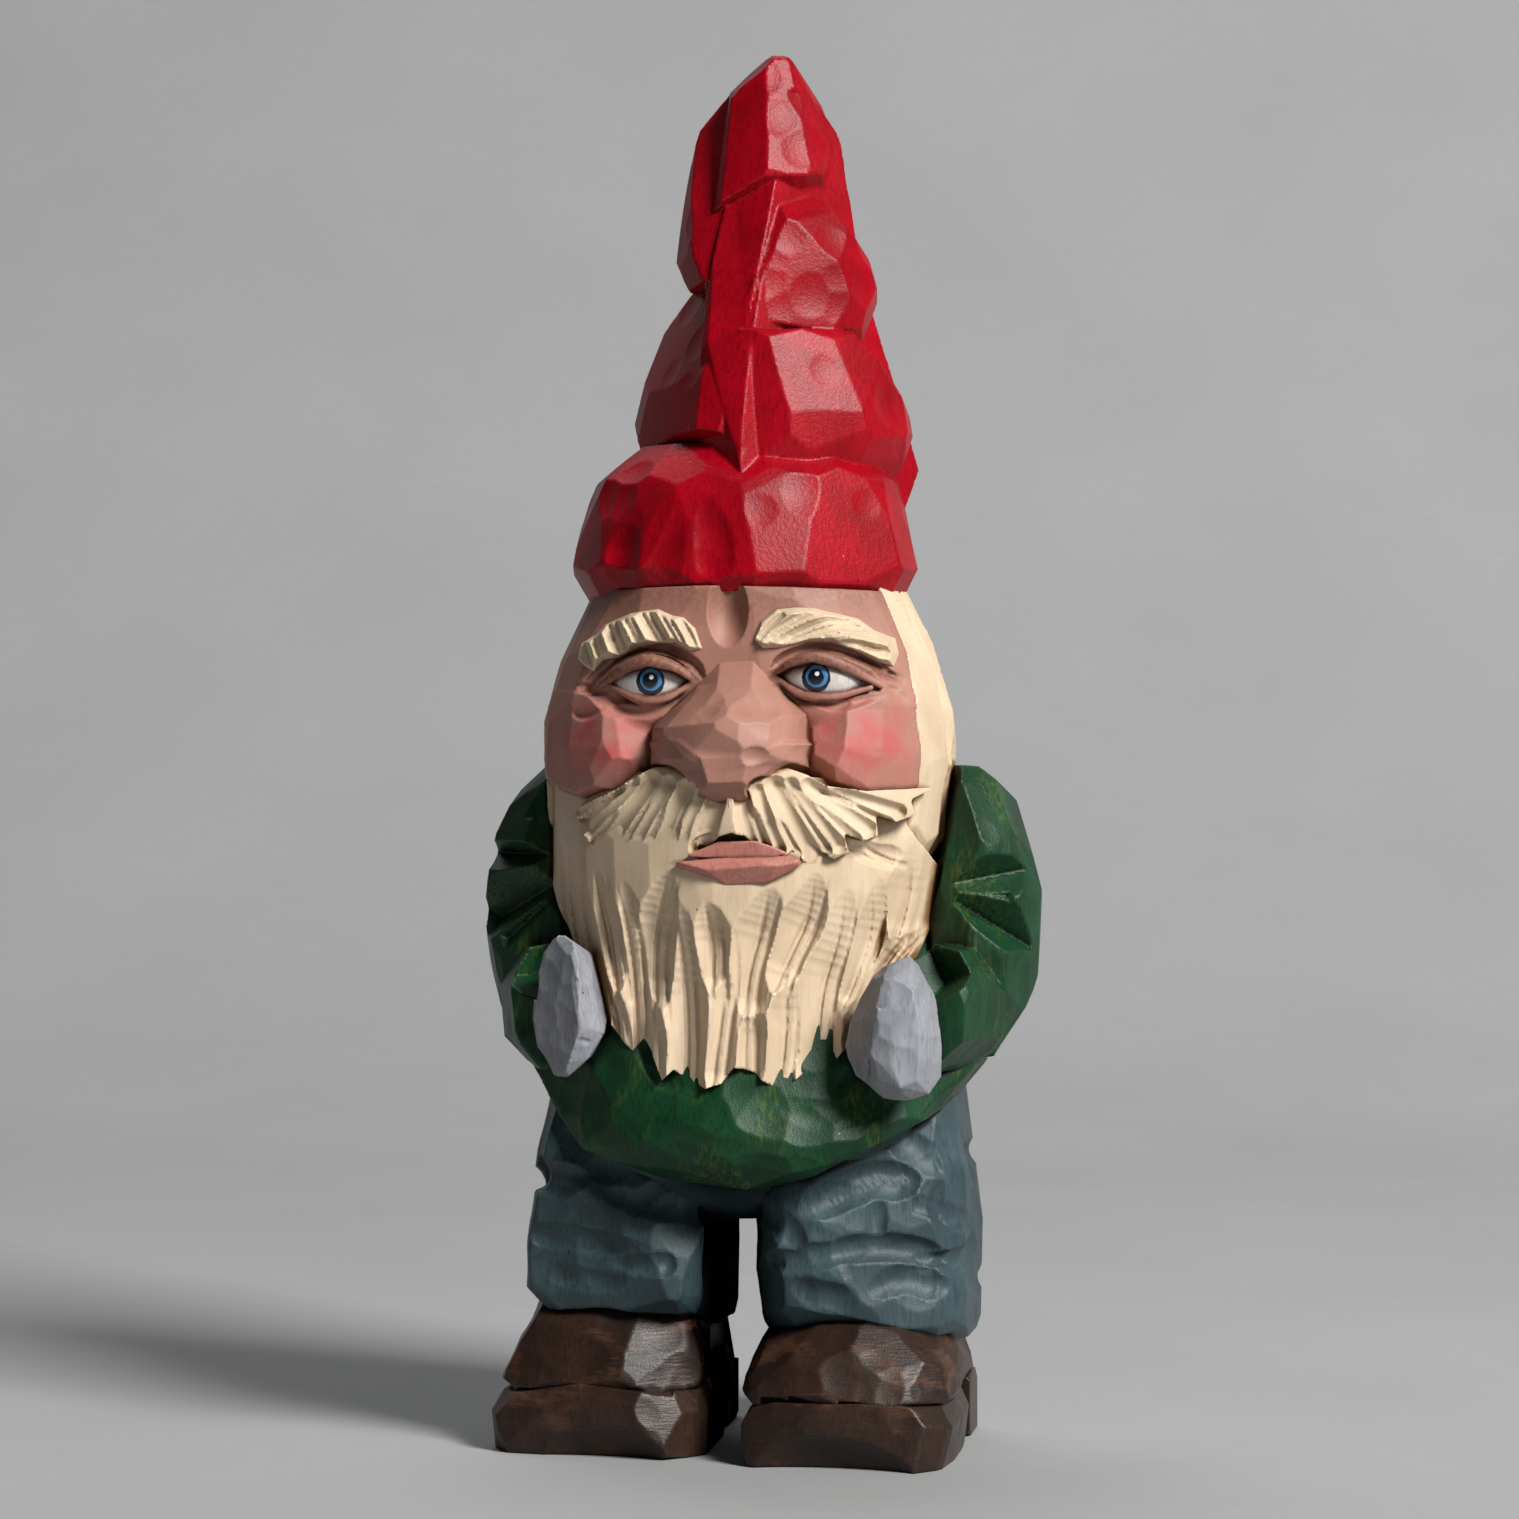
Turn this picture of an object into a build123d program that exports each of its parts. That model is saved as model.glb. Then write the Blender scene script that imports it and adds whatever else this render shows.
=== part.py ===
"""Tomte gnome figurine, hand-carved in flat planes from one block of basswood and painted.

Frame: +Z up, the face looks along -Y, the figure's own left hand is on +X. The origin is the centre of the
footprint, on the surface that the boots stand on. Every carved mass is the convex hull of its corner points,
so its faces are flat like knife cuts, and neighbouring masses meet face to face along the stop cuts.
"""

import itertools
import math
import os

import numpy as np
from build123d import *

# Driving dimensions of the block, in millimetres.
HEIGHT = 148.0
WIDTH = 59.0
DEPTH = 45.0

# Levels of the stop cuts above the floor.
SOLE_TOP = 6.6
CUFF = 14.0
CROTCH = 24.5
HEM_FRONT = 28.0
HEM_SIDE = 37.0
BEARD_TIP = 39.4
SHOULDER = 71.5
CHEEK_FOOT = 69.0
EYE_LEVEL = 80.9
HAT_BRIM = 90.0

# The head stands this far from the middle plane, and the face meets the hair on this plane.
HEAD_X = -1.0
HAIR_LINE_Y = -7.0

FLAT = 1e-6
SIDES = 12


def ring(z, middle, half, sides=SIDES, turn=0.5):
    """Corner points of a level polygon around (x, y), half = (half width, half depth)."""
    (x, y), (a, b) = middle, half
    angles = [2 * math.pi * (i + turn) / sides for i in range(sides)]
    return [(x + a * math.cos(t), y + b * math.sin(t), z) for t in angles]


def upright_ring(y, middle, half, sides=SIDES, turn=0.5):
    """Corner points of a polygon across Y around (x, z), half = (half width, half height)."""
    (x, z), (a, b) = middle, half
    angles = [2 * math.pi * (i + turn) / sides for i in range(sides)]
    return [(x + a * math.cos(t), y, z + b * math.sin(t)) for t in angles]


def hull(*groups):
    """The convex solid whose corners are the given points, one flat polygon per facet."""
    points = np.array(sorted({tuple(round(float(v), 4) for v in p) for g in groups for p in g}))
    i, j, k = np.array(list(itertools.combinations(range(len(points)), 3))).T
    normals = np.cross(points[j] - points[i], points[k] - points[i])
    lengths = np.linalg.norm(normals, axis=1)
    flat = lengths > FLAT
    normals, base = normals[flat] / lengths[flat, None], points[i[flat]]
    heights = normals @ points.T - (normals * base).sum(axis=1)[:, None]
    outward = heights.max(axis=1) <= FLAT
    inward = heights.min(axis=1) >= -FLAT
    normals[inward] *= -1
    facets = {}
    for n in np.flatnonzero(outward | inward):
        corners = frozenset(np.flatnonzero(np.abs(heights[n]) <= FLAT).tolist())
        facets[corners] = normals[n]
    faces = []
    for corners, normal in facets.items():
        corner_points = points[sorted(corners)]
        centre = corner_points.mean(axis=0)
        across = corner_points[0] - centre
        along = np.cross(normal, across)
        angle = np.arctan2((corner_points - centre) @ along, (corner_points - centre) @ across)
        outline = [Vector(*corner_points[n]) for n in np.argsort(angle)]
        faces.append(Face(Wire.make_polygon(outline, close=True)))
    return Solid(Shell(faces))


def lens(centre, half, sides=SIDES):
    """A faceted egg around centre, standing on Z, with half sizes (x, y, z)."""
    x, y, z = centre
    a, b, c = half
    levels = (-0.92, -0.45, 0.1, 0.6, 0.95)
    return hull(
        *[
            ring(
                z + c * level,
                (x, y),
                (a * math.sqrt(1 - level**2 * 0.96), b * math.sqrt(1 - level**2 * 0.96)),
                sides,
                turn=0.5 * (i % 2),
            )
            for i, level in enumerate(levels)
        ]
    )


def block(low, high):
    """The upright box between two corner points."""
    size = [h - l for l, h in zip(low, high)]
    return Pos(*low) * Box(*size, align=(Align.MIN, Align.MIN, Align.MIN))


def fused(*shapes):
    """The union of overlapping masses, as one solid."""
    joined = shapes[0]
    for shape in shapes[1:]:
        joined = joined + shape
    return largest(joined)


def largest(shape):
    """The biggest solid in a shape, which drops any chip that a cut leaves loose."""
    return max(shape.solids(), key=lambda solid: solid.volume)


def cut(shape, *tools):
    """The shape with each tool taken away."""
    for tool in tools:
        shape = largest(shape - tool)
    return shape


def mirrored(points):
    """The same points on the other side of the middle plane."""
    return [(-x, y, z) for x, y, z in points]


# --- Hat: a cone that has slumped into four lobes, stacked and leaning towards +X ---


def hat():
    bottom = hull(
        ring(HAT_BRIM, (-1.2, -0.5), (16.6, 15.6)),
        ring(HAT_BRIM + 2.7, (-1.5, -0.5), (18.6, 17.4)),
        ring(HAT_BRIM + 7, (-1.7, 0.0), (18.3, 16.6)),
        ring(HAT_BRIM + 12, (-1.2, 0.5), (16.2, 14.4)),
        ring(HAT_BRIM + 17.5, (-2.8, 0.0), (11.2, 10.6)),
    )
    second = hull(
        ring(HAT_BRIM + 10.5, (1.0, 0.5), (13.6, 13.2)),
        ring(HAT_BRIM + 17, (1.2, 0.5), (14.9, 13.0)),
        ring(HAT_BRIM + 24, (1.2, 0.6), (13.4, 11.0)),
        ring(HAT_BRIM + 31, (-3.0, 0.0), (8.0, 7.4)),
    )
    third = hull(
        ring(HAT_BRIM + 26, (2.0, 0.8), (9.6, 9.0)),
        ring(HAT_BRIM + 33, (2.6, 1.0), (10.0, 8.8)),
        ring(HAT_BRIM + 40, (2.6, 1.0), (7.9, 6.8)),
        ring(HAT_BRIM + 43, (0.6, 1.0), (6.0, 5.4)),
    )
    top = hull(
        ring(HAT_BRIM + 31, (-1.6, 0.8), (6.8, 7.0)),
        ring(HAT_BRIM + 38, (-1.0, 1.0), (8.2, 6.8)),
        ring(HAT_BRIM + 47.5, (0.0, 1.2), (7.4, 5.8)),
        ring(HAT_BRIM + 54, (0.8, 1.4), (5.0, 4.4)),
        [(-0.6, 1.0, HEIGHT), (4.2, 0.6, HEIGHT - 1.2), (3.6, 3.6, HEIGHT - 1.0), (0.4, 3.8, HEIGHT)],
    )
    return fused(bottom, second, third, top)


# --- Head: face, nose, brows, eyes, hair, beard, moustache and lips ---


def head_mass():
    return hull(
        ring(HAT_BRIM, (HEAD_X, -0.5), (16.4, 15.2)),
        ring(HAT_BRIM - 7, (HEAD_X, -0.6), (19.9, 17.6)),
        ring(EYE_LEVEL - 6.5, (HEAD_X, -0.5), (21.6, 18.6)),
        ring(CHEEK_FOOT - 3, (HEAD_X, -0.3), (21.0, 18.2)),
        ring(CHEEK_FOOT - 9, (HEAD_X, 0.4), (18.6, 15.8)),
    )


def nose():
    bridge = [(-2.2, -15.5, 86.0), (2.6, -15.5, 86.0), (-1.5, -18.2, 84.0), (2.3, -18.2, 84.0)]
    wings = [(-8.6, -15.5, 73.4), (7.6, -15.5, 73.4), (-8.0, -15.5, 76.8), (7.2, -15.5, 76.8)]
    flare = [(-7.6, -19.4, 73.2), (7.0, -19.4, 73.2), (-6.4, -19.2, 76.4), (6.0, -19.2, 76.4)]
    tip = [(-2.4, -DEPTH / 2, 74.6), (3.4, -DEPTH / 2, 74.6), (-0.6, -DEPTH / 2, 77.6), (2.0, -DEPTH / 2, 77.6)]
    foot = [(-1.2, -21.4, 70.4), (2.8, -21.4, 70.4), (-1.0, -15.5, 70.2), (2.6, -15.5, 70.2)]
    return hull(bridge, wings, flare, tip, foot)


def brow(side):
    """A raised pad over the eye; side is +1 for the figure's left."""
    inner = [(2.6, -19.2, 84.6), (2.6, -19.0, 86.4), (3.0, -14.5, 84.4), (3.0, -14.5, 87.6)]
    crown = [(7.4, -18.6, 85.9), (7.2, -17.6, 88.4), (7.4, -13.0, 85.6), (7.2, -13.0, 88.6)]
    outer = [(14.6, -14.2, 83.0), (15.2, -12.6, 85.0), (14.0, -9.5, 82.6), (14.6, -9.5, 85.2)]
    points = inner + crown + outer
    return hull(points if side > 0 else mirrored(points))


def eye(side):
    return lens((side * 8.9, -14.6, EYE_LEVEL), (4.4, 2.6, 2.1), sides=10)


def lips():
    upper = hull(
        [(-3.4, -19.4, 63.2), (6.4, -19.2, 63.6), (-2.6, -15.5, 63.2), (5.6, -15.5, 63.6)],
        [(-0.6, -19.8, 65.0), (3.6, -19.8, 65.2), (-0.6, -15.5, 65.6), (3.6, -15.5, 65.8)],
    )
    lower = hull(
        [(-4.8, -18.6, 62.6), (7.4, -18.6, 62.8), (-4.4, -15.5, 62.6), (7.0, -15.5, 62.8)],
        [(-3.0, -20.4, 62.0), (5.6, -20.4, 62.2), (-1.6, -19.6, 60.2), (4.6, -19.6, 60.2)],
        [(-3.0, -15.5, 60.4), (5.6, -15.5, 60.4)],
    )
    return upper, lower


def moustache(side):
    """One half, sweeping from under the nose to the corner of the beard."""
    middle = [(0.9, -20.4, 70.6), (0.9, -21.2, 66.6), (0.9, -14.5, 70.6), (0.9, -14.5, 66.2)]
    sweep = [(7.0, -20.4, 70.6), (7.4, -20.8, 63.0), (7.0, -13.0, 70.6), (7.4, -13.0, 62.6)]
    fall = [(12.6, -17.6, 69.0), (11.6, -18.0, 63.0), (12.6, -11.5, 69.0), (11.6, -11.5, 62.6)]
    tip = [(17.4, -13.2, 66.6), (16.8, -10.2, 66.6), (17.0, -12.6, 68.6)]
    points = middle + sweep + fall + tip
    return hull(points if side > 0 else [(2 * 0.9 - x, y, z) for x, y, z in points])


def beard_mass():
    return hull(
        ring(CHEEK_FOOT + 2, (HEAD_X, -0.6), (20.9, 18.4)),
        ring(CHEEK_FOOT - 4, (HEAD_X, -0.8), (20.6, 18.8)),
        ring(57.0, (0.0, -3.6), (18.6, 16.8)),
        ring(48.0, (0.2, -10.0), (14.4, 10.8)),
        [(-11.6, -18.0, 43.6), (12.6, -17.6, 43.6), (-11.0, -10.0, 43.6), (12.0, -10.0, 43.6)],
        [(-7.4, -20.2, 39.8), (8.6, -20.0, 39.8), (-7.0, -14.0, 39.8), (8.0, -14.0, 39.8)],
        [(-2.4, -20.8, BEARD_TIP), (5.4, -20.8, BEARD_TIP), (0.8, -15.0, BEARD_TIP)],
    )


def head_parts():
    """Every piece of the head, each with its neighbours' room taken out."""
    front = block((-40, -40, CHEEK_FOOT), (40, HAIR_LINE_Y, HAT_BRIM))
    above_chin = block((-40, HAIR_LINE_Y, 0), (40, 40, HAT_BRIM))
    below_cheeks = block((-40, -40, 0), (40, HAIR_LINE_Y, CHEEK_FOOT))
    mass = head_mass()
    parts = {"nose": nose()}
    for side, name in ((1, "left"), (-1, "right")):
        parts[f"{name}_eye"] = cut(eye(side), parts["nose"])
        parts[f"{name}_eyebrow"] = cut(brow(side), parts["nose"])
    face = largest(mass & front)
    parts["face"] = cut(face, *parts.values())
    parts["upper_lip"], parts["lower_lip"] = lips()
    parts["upper_lip"] = cut(parts["upper_lip"], parts["lower_lip"])
    for side, name in ((1, "left"), (-1, "right")):
        whole = moustache(side)
        neighbours = (parts["nose"], parts["face"], parts["upper_lip"], parts["lower_lip"])
        parts[f"{name}_moustache"] = cut(whole, *neighbours)
    beard = largest(beard_mass() & below_cheeks)
    fitted = ("nose", "upper_lip", "lower_lip", "left_moustache", "right_moustache")
    parts["beard"] = cut(beard, *[parts[name] for name in fitted])
    parts["hair"] = largest(mass & above_chin)
    return parts


# --- Sweater, sleeves and mittens ---


def sweater_mass():
    return hull(
        ring(SHOULDER, (-0.5, 2.0), (14.5, 11.5)),
        ring(SHOULDER - 6, (-0.2, 2.0), (19.5, 17.0)),
        ring(54.0, (0.0, 1.4), (21.5, 20.4)),
        ring(45.0, (0.0, 0.6), (22.8, DEPTH / 2 - 0.6), turn=0),
        ring(HEM_SIDE + 1.5, (0.0, 0.8), (24.2, 20.8)),
        [(-14.6, -15.4, 31.6), (14.2, -15.8, 32.0), (-3.0, -19.0, 28.6), (6.8, -18.8, 29.2)],
        [(1.2, -19.2, HEM_FRONT), (-8.0, -12.0, HEM_FRONT + 2), (9.0, -12.0, HEM_FRONT + 2)],
        [(-14.0, 16.0, 33.5), (14.0, 16.0, 33.5), (0.0, 18.6, 32.6)],
    )


def sleeve_mass(side):
    upper_arm = [
        *ring(SHOULDER - 0.5, (20.0, 1.5), (3.0, 5.0), 8),
        *ring(65.5, (22.4, 2.0), (5.6, 8.0), 8),
        *ring(56.0, (WIDTH / 2 - 6.4, 2.2), (6.4, 8.8), 8, turn=0),
        *ring(49.0, (22.6, 1.2), (6.2, 8.2), 8),
        *ring(42.0, (21.2, -0.6), (4.4, 5.6), 8),
    ]
    forearm = [
        *upright_ring(3.0, (21.4, 46.0), (4.4, 4.6), 8),
        *upright_ring(-6.0, (21.6, 46.6), (5.4, 6.8), 8),
        *upright_ring(-15.6, (18.6, 47.0), (4.6, 6.6), 8),
    ]
    if side < 0:
        upper_arm, forearm = mirrored(upper_arm), mirrored(forearm)
    return fused(hull(upper_arm), hull(forearm))


def mitten_mass(side):
    if side > 0:
        return lens((17.6, -17.4, 45.4), (4.8, 4.0, 7.4))
    return lens((-17.2, -17.4, 47.5), (4.1, 3.9, 7.3))


def upper_body(head):
    parts = {}
    for side, name in ((1, "left"), (-1, "right")):
        parts[f"{name}_mitten"] = cut(mitten_mass(side), head["beard"])
    for side, name in ((1, "left"), (-1, "right")):
        arm = sleeve_mass(side)
        parts[f"{name}_sleeve"] = cut(arm, parts[f"{name}_mitten"], head["beard"], head["hair"])
    parts["sweater"] = cut(sweater_mass(), *parts.values(), head["beard"], head["hair"])
    return parts


# --- Trousers ---


def leg_mass(side):
    """Baggy leg down to the cuff; the figure's left leg is a little wider."""
    inner, outer, foot = (0.5, 22.6, 0.0) if side > 0 else (-4.2, -24.2, 1.6)
    middle, half = (inner + outer) / 2, abs(outer - inner) / 2
    y = 0.4 + foot
    return hull(
        ring(CUFF + foot / 2, (middle, y), (half * 0.93, 13.0)),
        ring(CUFF + 3.0 + foot / 2, (middle, y), (half * 1.04, 15.0)),
        ring(CROTCH - 1.0, (middle, y), (half * 1.02, 15.4)),
        ring(HEM_SIDE + 3.0, (middle * 0.96, y), (half * 0.92, 15.0)),
    )


def trousers(sweater):
    seat = hull(
        ring(CROTCH, (-1.8, 1.6), (7.5, 10.0)),
        ring(CROTCH + 5, (-0.8, 1.6), (19.5, 15.0)),
        ring(HEM_SIDE + 4, (0.0, 1.4), (21.0, 16.6)),
    )
    gap = block((-4.2, -40, 0), (0.5, 40, CROTCH))
    parts = {"trouser_seat": cut(seat, sweater, gap)}
    for side, name in ((1, "left"), (-1, "right")):
        half_space = block((0.5, -40, 0), (40, 40, 60)) if side > 0 else block((-40, -40, 0), (-4.2, 40, 60))
        leg = largest(leg_mass(side) & half_space)
        parts[f"{name}_trouser_leg"] = cut(leg, sweater, parts["trouser_seat"])
    return parts


# --- Boots ---


def boot(side, leg):
    """Upper, front sole and heel block of one boot, with the toe cut askew."""
    if side > 0:
        inner, outer, toe_in, toe_out, back = 0.0, 22.2, -14.6, -18.2, 16.5
    else:
        inner, outer, toe_in, toe_out, back = -4.0, -26.6, -14.4, -11.4, 19.5
    out = 1 if outer > inner else -1
    sole_back, heel_front = back - 15.5, back - 10.0

    def outline(z, inset, toe_back):
        return [
            (inner + out * inset, sole_back, z),
            (outer - out * inset, sole_back, z),
            (outer - out * inset, toe_out + 6.0, z),
            (outer - out * (4.4 + inset * 0.5), toe_out + toe_back, z),
            (inner + out * (0.8 + inset), toe_in + toe_back, z),
        ]

    sole = hull(outline(0.0, 0.0, 1.2), outline(3.2, 0.0, 0.0), outline(SOLE_TOP, 0.6, 1.0))
    heel = hull(
        [(inner + out * i, y, z) for i in (1.4, 20.4) for y in (heel_front, back) for z in (0.0, SOLE_TOP)]
    )
    toe_cap = hull(
        outline(SOLE_TOP, 0.6, 1.0),
        outline(SOLE_TOP + 3.0, 1.0, 2.0),
        [(inner + out * 3.0, -7.0, 16.6), (outer - out * 4.0, -7.0, 16.2)],
        [(inner + out * 2.6, sole_back, 17.4), (outer - out * 3.0, sole_back, 17.4)],
    )
    counter = hull(
        [(inner + out * i, y, SOLE_TOP) for i in (1.8, 20.0) for y in (sole_back - 2, back - 0.8)],
        [(inner + out * i, y, 17.4) for i in (3.0, 18.8) for y in (sole_back - 2, back - 3.0)],
    )
    upper = cut(fused(toe_cap, counter), leg)
    waist = cut(
        hull([(inner + out * i, y, z) for i in (2.4, 19.4) for y in (sole_back, heel_front) for z in (2.4, SOLE_TOP)]),
        heel,
    )
    return upper, fused(sole, waist), heel


def boots(legs):
    parts = {}
    for side, name in ((1, "left"), (-1, "right")):
        upper, sole, heel = boot(side, legs[f"{name}_trouser_leg"])
        parts[f"{name}_boot_upper"] = upper
        parts[f"{name}_boot_sole"] = sole
        parts[f"{name}_boot_heel"] = heel
    return parts


def main():
    os.makedirs("parts", exist_ok=True)
    parts = {"hat": hat()}
    head = head_parts()
    body = upper_body(head)
    legs = trousers(body["sweater"])
    parts.update(head)
    parts.update(body)
    parts.update(legs)
    parts.update(boots(legs))
    for name, solid in parts.items():
        solid.label = name
        export_step(solid, f"parts/{name}.step")


main()
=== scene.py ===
"""The looks of a carved and painted gnome, built around its CAD frame.

Every painted mass is carved again in fine detail where its CAD node stands. A mass is a signed distance
field in millimetres, negative inside: knife cuts are planes, gouge cuts are scallops sunk along strokes, and
stop cuts are outlines. Dual contouring turns each field into a closed mesh that keeps the knife edges crisp.
"""

import itertools
import math

import bpy
import numpy as np
from mathutils import Matrix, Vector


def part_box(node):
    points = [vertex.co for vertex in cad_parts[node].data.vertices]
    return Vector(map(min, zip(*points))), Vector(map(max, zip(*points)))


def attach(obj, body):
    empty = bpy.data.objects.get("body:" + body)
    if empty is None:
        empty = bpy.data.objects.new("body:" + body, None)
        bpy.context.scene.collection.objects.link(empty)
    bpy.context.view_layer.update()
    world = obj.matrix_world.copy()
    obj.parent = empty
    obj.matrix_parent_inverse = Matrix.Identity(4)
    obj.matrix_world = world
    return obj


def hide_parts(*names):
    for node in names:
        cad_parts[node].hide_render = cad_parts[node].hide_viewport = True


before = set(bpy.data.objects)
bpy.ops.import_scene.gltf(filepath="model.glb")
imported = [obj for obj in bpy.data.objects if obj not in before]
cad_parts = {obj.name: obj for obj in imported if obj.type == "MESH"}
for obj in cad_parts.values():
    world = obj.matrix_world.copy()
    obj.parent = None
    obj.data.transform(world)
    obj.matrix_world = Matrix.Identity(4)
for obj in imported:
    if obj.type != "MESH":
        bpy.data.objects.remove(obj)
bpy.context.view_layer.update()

MM = 0.001
# Voxel sizes in mm, for the face and mittens, for the rest, and for the seat, which is mostly hidden.
FINE, MEDIUM, COARSE = ((0.2, 0.27, 0.36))


# --- Places, all taken from the frame, in millimetres ---


def low(node):
    return np.array(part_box(node)[0]) / MM


def high(node):
    return np.array(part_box(node)[1]) / MM


def foot(node):
    """Under the middle of a node, on the figure's middle plane from side to side."""
    return np.array([(low(node)[0] + high(node)[0]) / 2, 0.0, low(node)[2]])


def centre(node):
    return (low(node) + high(node)) / 2


# --- Fields ---


def unit(vector):
    vector = np.asarray(vector, float)
    return vector / np.linalg.norm(vector)


class Cuts:
    """A convex mass: what stays inside every knife cut. A hollow cut bows inwards across its width."""

    def __init__(self):
        self.rows = []
        self.table = None

    def cut(self, point, normal, hollow=0.0, across=(0.0, 0.0, 1.0)):
        normal = unit(normal)
        across = np.asarray(across, float)
        across = across - normal * (across @ normal)
        across = unit(across) if np.linalg.norm(across) > 1e-6 else np.zeros(3)
        point = np.asarray(point, float)
        self.rows.append([*normal, point @ normal, hollow, *across, point @ across])
        self.table = None
        return self

    def __call__(self, p):
        if self.table is None:
            self.table = np.array(self.rows)
        t = self.table
        outside = p @ t[:, :3].T - t[:, 3]
        if np.any(t[:, 4]):
            outside += t[:, 4] * (p @ t[:, 5:8].T - t[:, 8]) ** 2
        return outside.max(axis=1)


def lobe(origin, rings, cut, seed, hollow=0.004, wander=0.22, tilt=0.05):
    """A convex mass through level ellipses (z, x, y, half x, half y), in rows of facets about cut mm wide."""
    rng = np.random.default_rng(seed)
    mass = Cuts()
    origin = np.asarray(origin, float)
    for (z0, x0, y0, a0, b0), (z1, x1, y1, a1, b1) in itertools.pairwise(rings):
        a, b = (a0 + a1) / 2, (b0 + b1) / 2
        count = max(6, round(2 * math.pi * math.sqrt((a * a + b * b) / 2) / cut))
        turn = rng.random()
        shrink = (1 + math.cos(math.pi / count)) / 2
        for i in range(count):
            angle = 2 * math.pi * (i + turn + rng.uniform(-wander, wander)) / count
            c, s = math.cos(angle), math.sin(angle)
            point = np.array([(x0 + x1) / 2 + a * c * shrink, (y0 + y1) / 2 + b * s * shrink, (z0 + z1) / 2])
            around = np.array([-a * s, b * c, 0.0])
            upward = np.array([x1 - x0 + (a1 - a0) * c, y1 - y0 + (b1 - b0) * s, z1 - z0])
            normal = unit(np.cross(around, upward)) + rng.normal(0, tilt, 3)
            mass.cut(origin + point, normal, hollow * rng.uniform(0.3, 1.5), rng.normal(size=3))
    for (z, x, y, _, _), way in ((rings[0], -1), (rings[-1], 1)):
        mass.cut(origin + [x, y, z], (rng.normal(0, 0.03), rng.normal(0, 0.03), way))
    return mass


def hull(origin, points, hollow=0.0):
    """The convex mass with these corners."""
    points = np.unique(np.round(np.asarray(points, float) + origin, 4), axis=0)
    i, j, k = np.array(list(itertools.combinations(range(len(points)), 3))).T
    normals = np.cross(points[j] - points[i], points[k] - points[i])
    lengths = np.linalg.norm(normals, axis=1)
    normals, base = normals[lengths > 1e-6] / lengths[lengths > 1e-6, None], points[i[lengths > 1e-6]]
    heights = normals @ points.T - (normals * base).sum(axis=1)[:, None]
    normals[heights.min(axis=1) >= -1e-6] *= -1
    outer = (heights.max(axis=1) <= 1e-6) | (heights.min(axis=1) >= -1e-6)
    mass = Cuts()
    seen = set()
    for normal, point in zip(normals[outer], base[outer]):
        key = (*np.round(normal, 4), round(float(point @ normal), 3))
        if key not in seen:
            seen.add(key)
            mass.cut(point, normal, hollow)
    return mass


def union(*fields):
    return lambda p: np.minimum.reduce([f(p) for f in fields])


def both(*fields):
    return lambda p: np.maximum.reduce([f(p) for f in fields])


def minus(field, *tools):
    return lambda p: np.maximum.reduce([field(p)] + [-tool(p) for tool in tools])


def soft_union(reach, *fields):
    """A union whose inner corners are filled over reach mm, as paint and a small gouge leave them."""

    def field(p):
        total = fields[0](p)
        for other in fields[1:]:
            value = other(p)
            blend = np.clip(0.5 + 0.5 * (value - total) / reach, 0, 1)
            total = value * (1 - blend) + total * blend - reach * blend * (1 - blend)
        return total

    return field


def ball(middle, radii):
    middle, radii = np.asarray(middle, float), np.asarray(radii, float) * np.ones(3)

    def field(p):
        q = (p - middle) / radii
        length = np.linalg.norm(q, axis=1)
        slope = np.linalg.norm(q / radii, axis=1) + 1e-9
        return length * (length - 1) / slope

    return field


def rod(points, radii):
    """A round bar along a line of points, with a radius at each."""
    points, radii = np.asarray(points, float), np.asarray(radii, float) * np.ones(len(points))

    def field(p):
        best = np.full(len(p), np.inf)
        for a, b, ra, rb in zip(points, points[1:], radii, radii[1:]):
            t = np.clip((p - a) @ (b - a) / ((b - a) @ (b - a)), 0, 1)
            best = np.minimum(best, np.linalg.norm(p - a - t[:, None] * (b - a), axis=1) - ra - t * (rb - ra))
        return best

    return field


def smooth_line(points, count=12):
    """The points read off a Catmull-Rom curve."""
    points = np.asarray(points, float)
    padded = np.vstack([2 * points[0] - points[1], points, 2 * points[-1] - points[-2]])
    out = []
    for t in np.linspace(0, len(points) - 1, count):
        i = min(int(t), len(points) - 2)
        s = t - i
        a, b, c, d = padded[i : i + 4]
        square, cube = 2 * a - 5 * b + 4 * c - d, 3 * b - a - 3 * c + d
        out.append(0.5 * (2 * b + (c - a) * s + square * s**2 + cube * s**3))
    return np.array(out)


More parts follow.
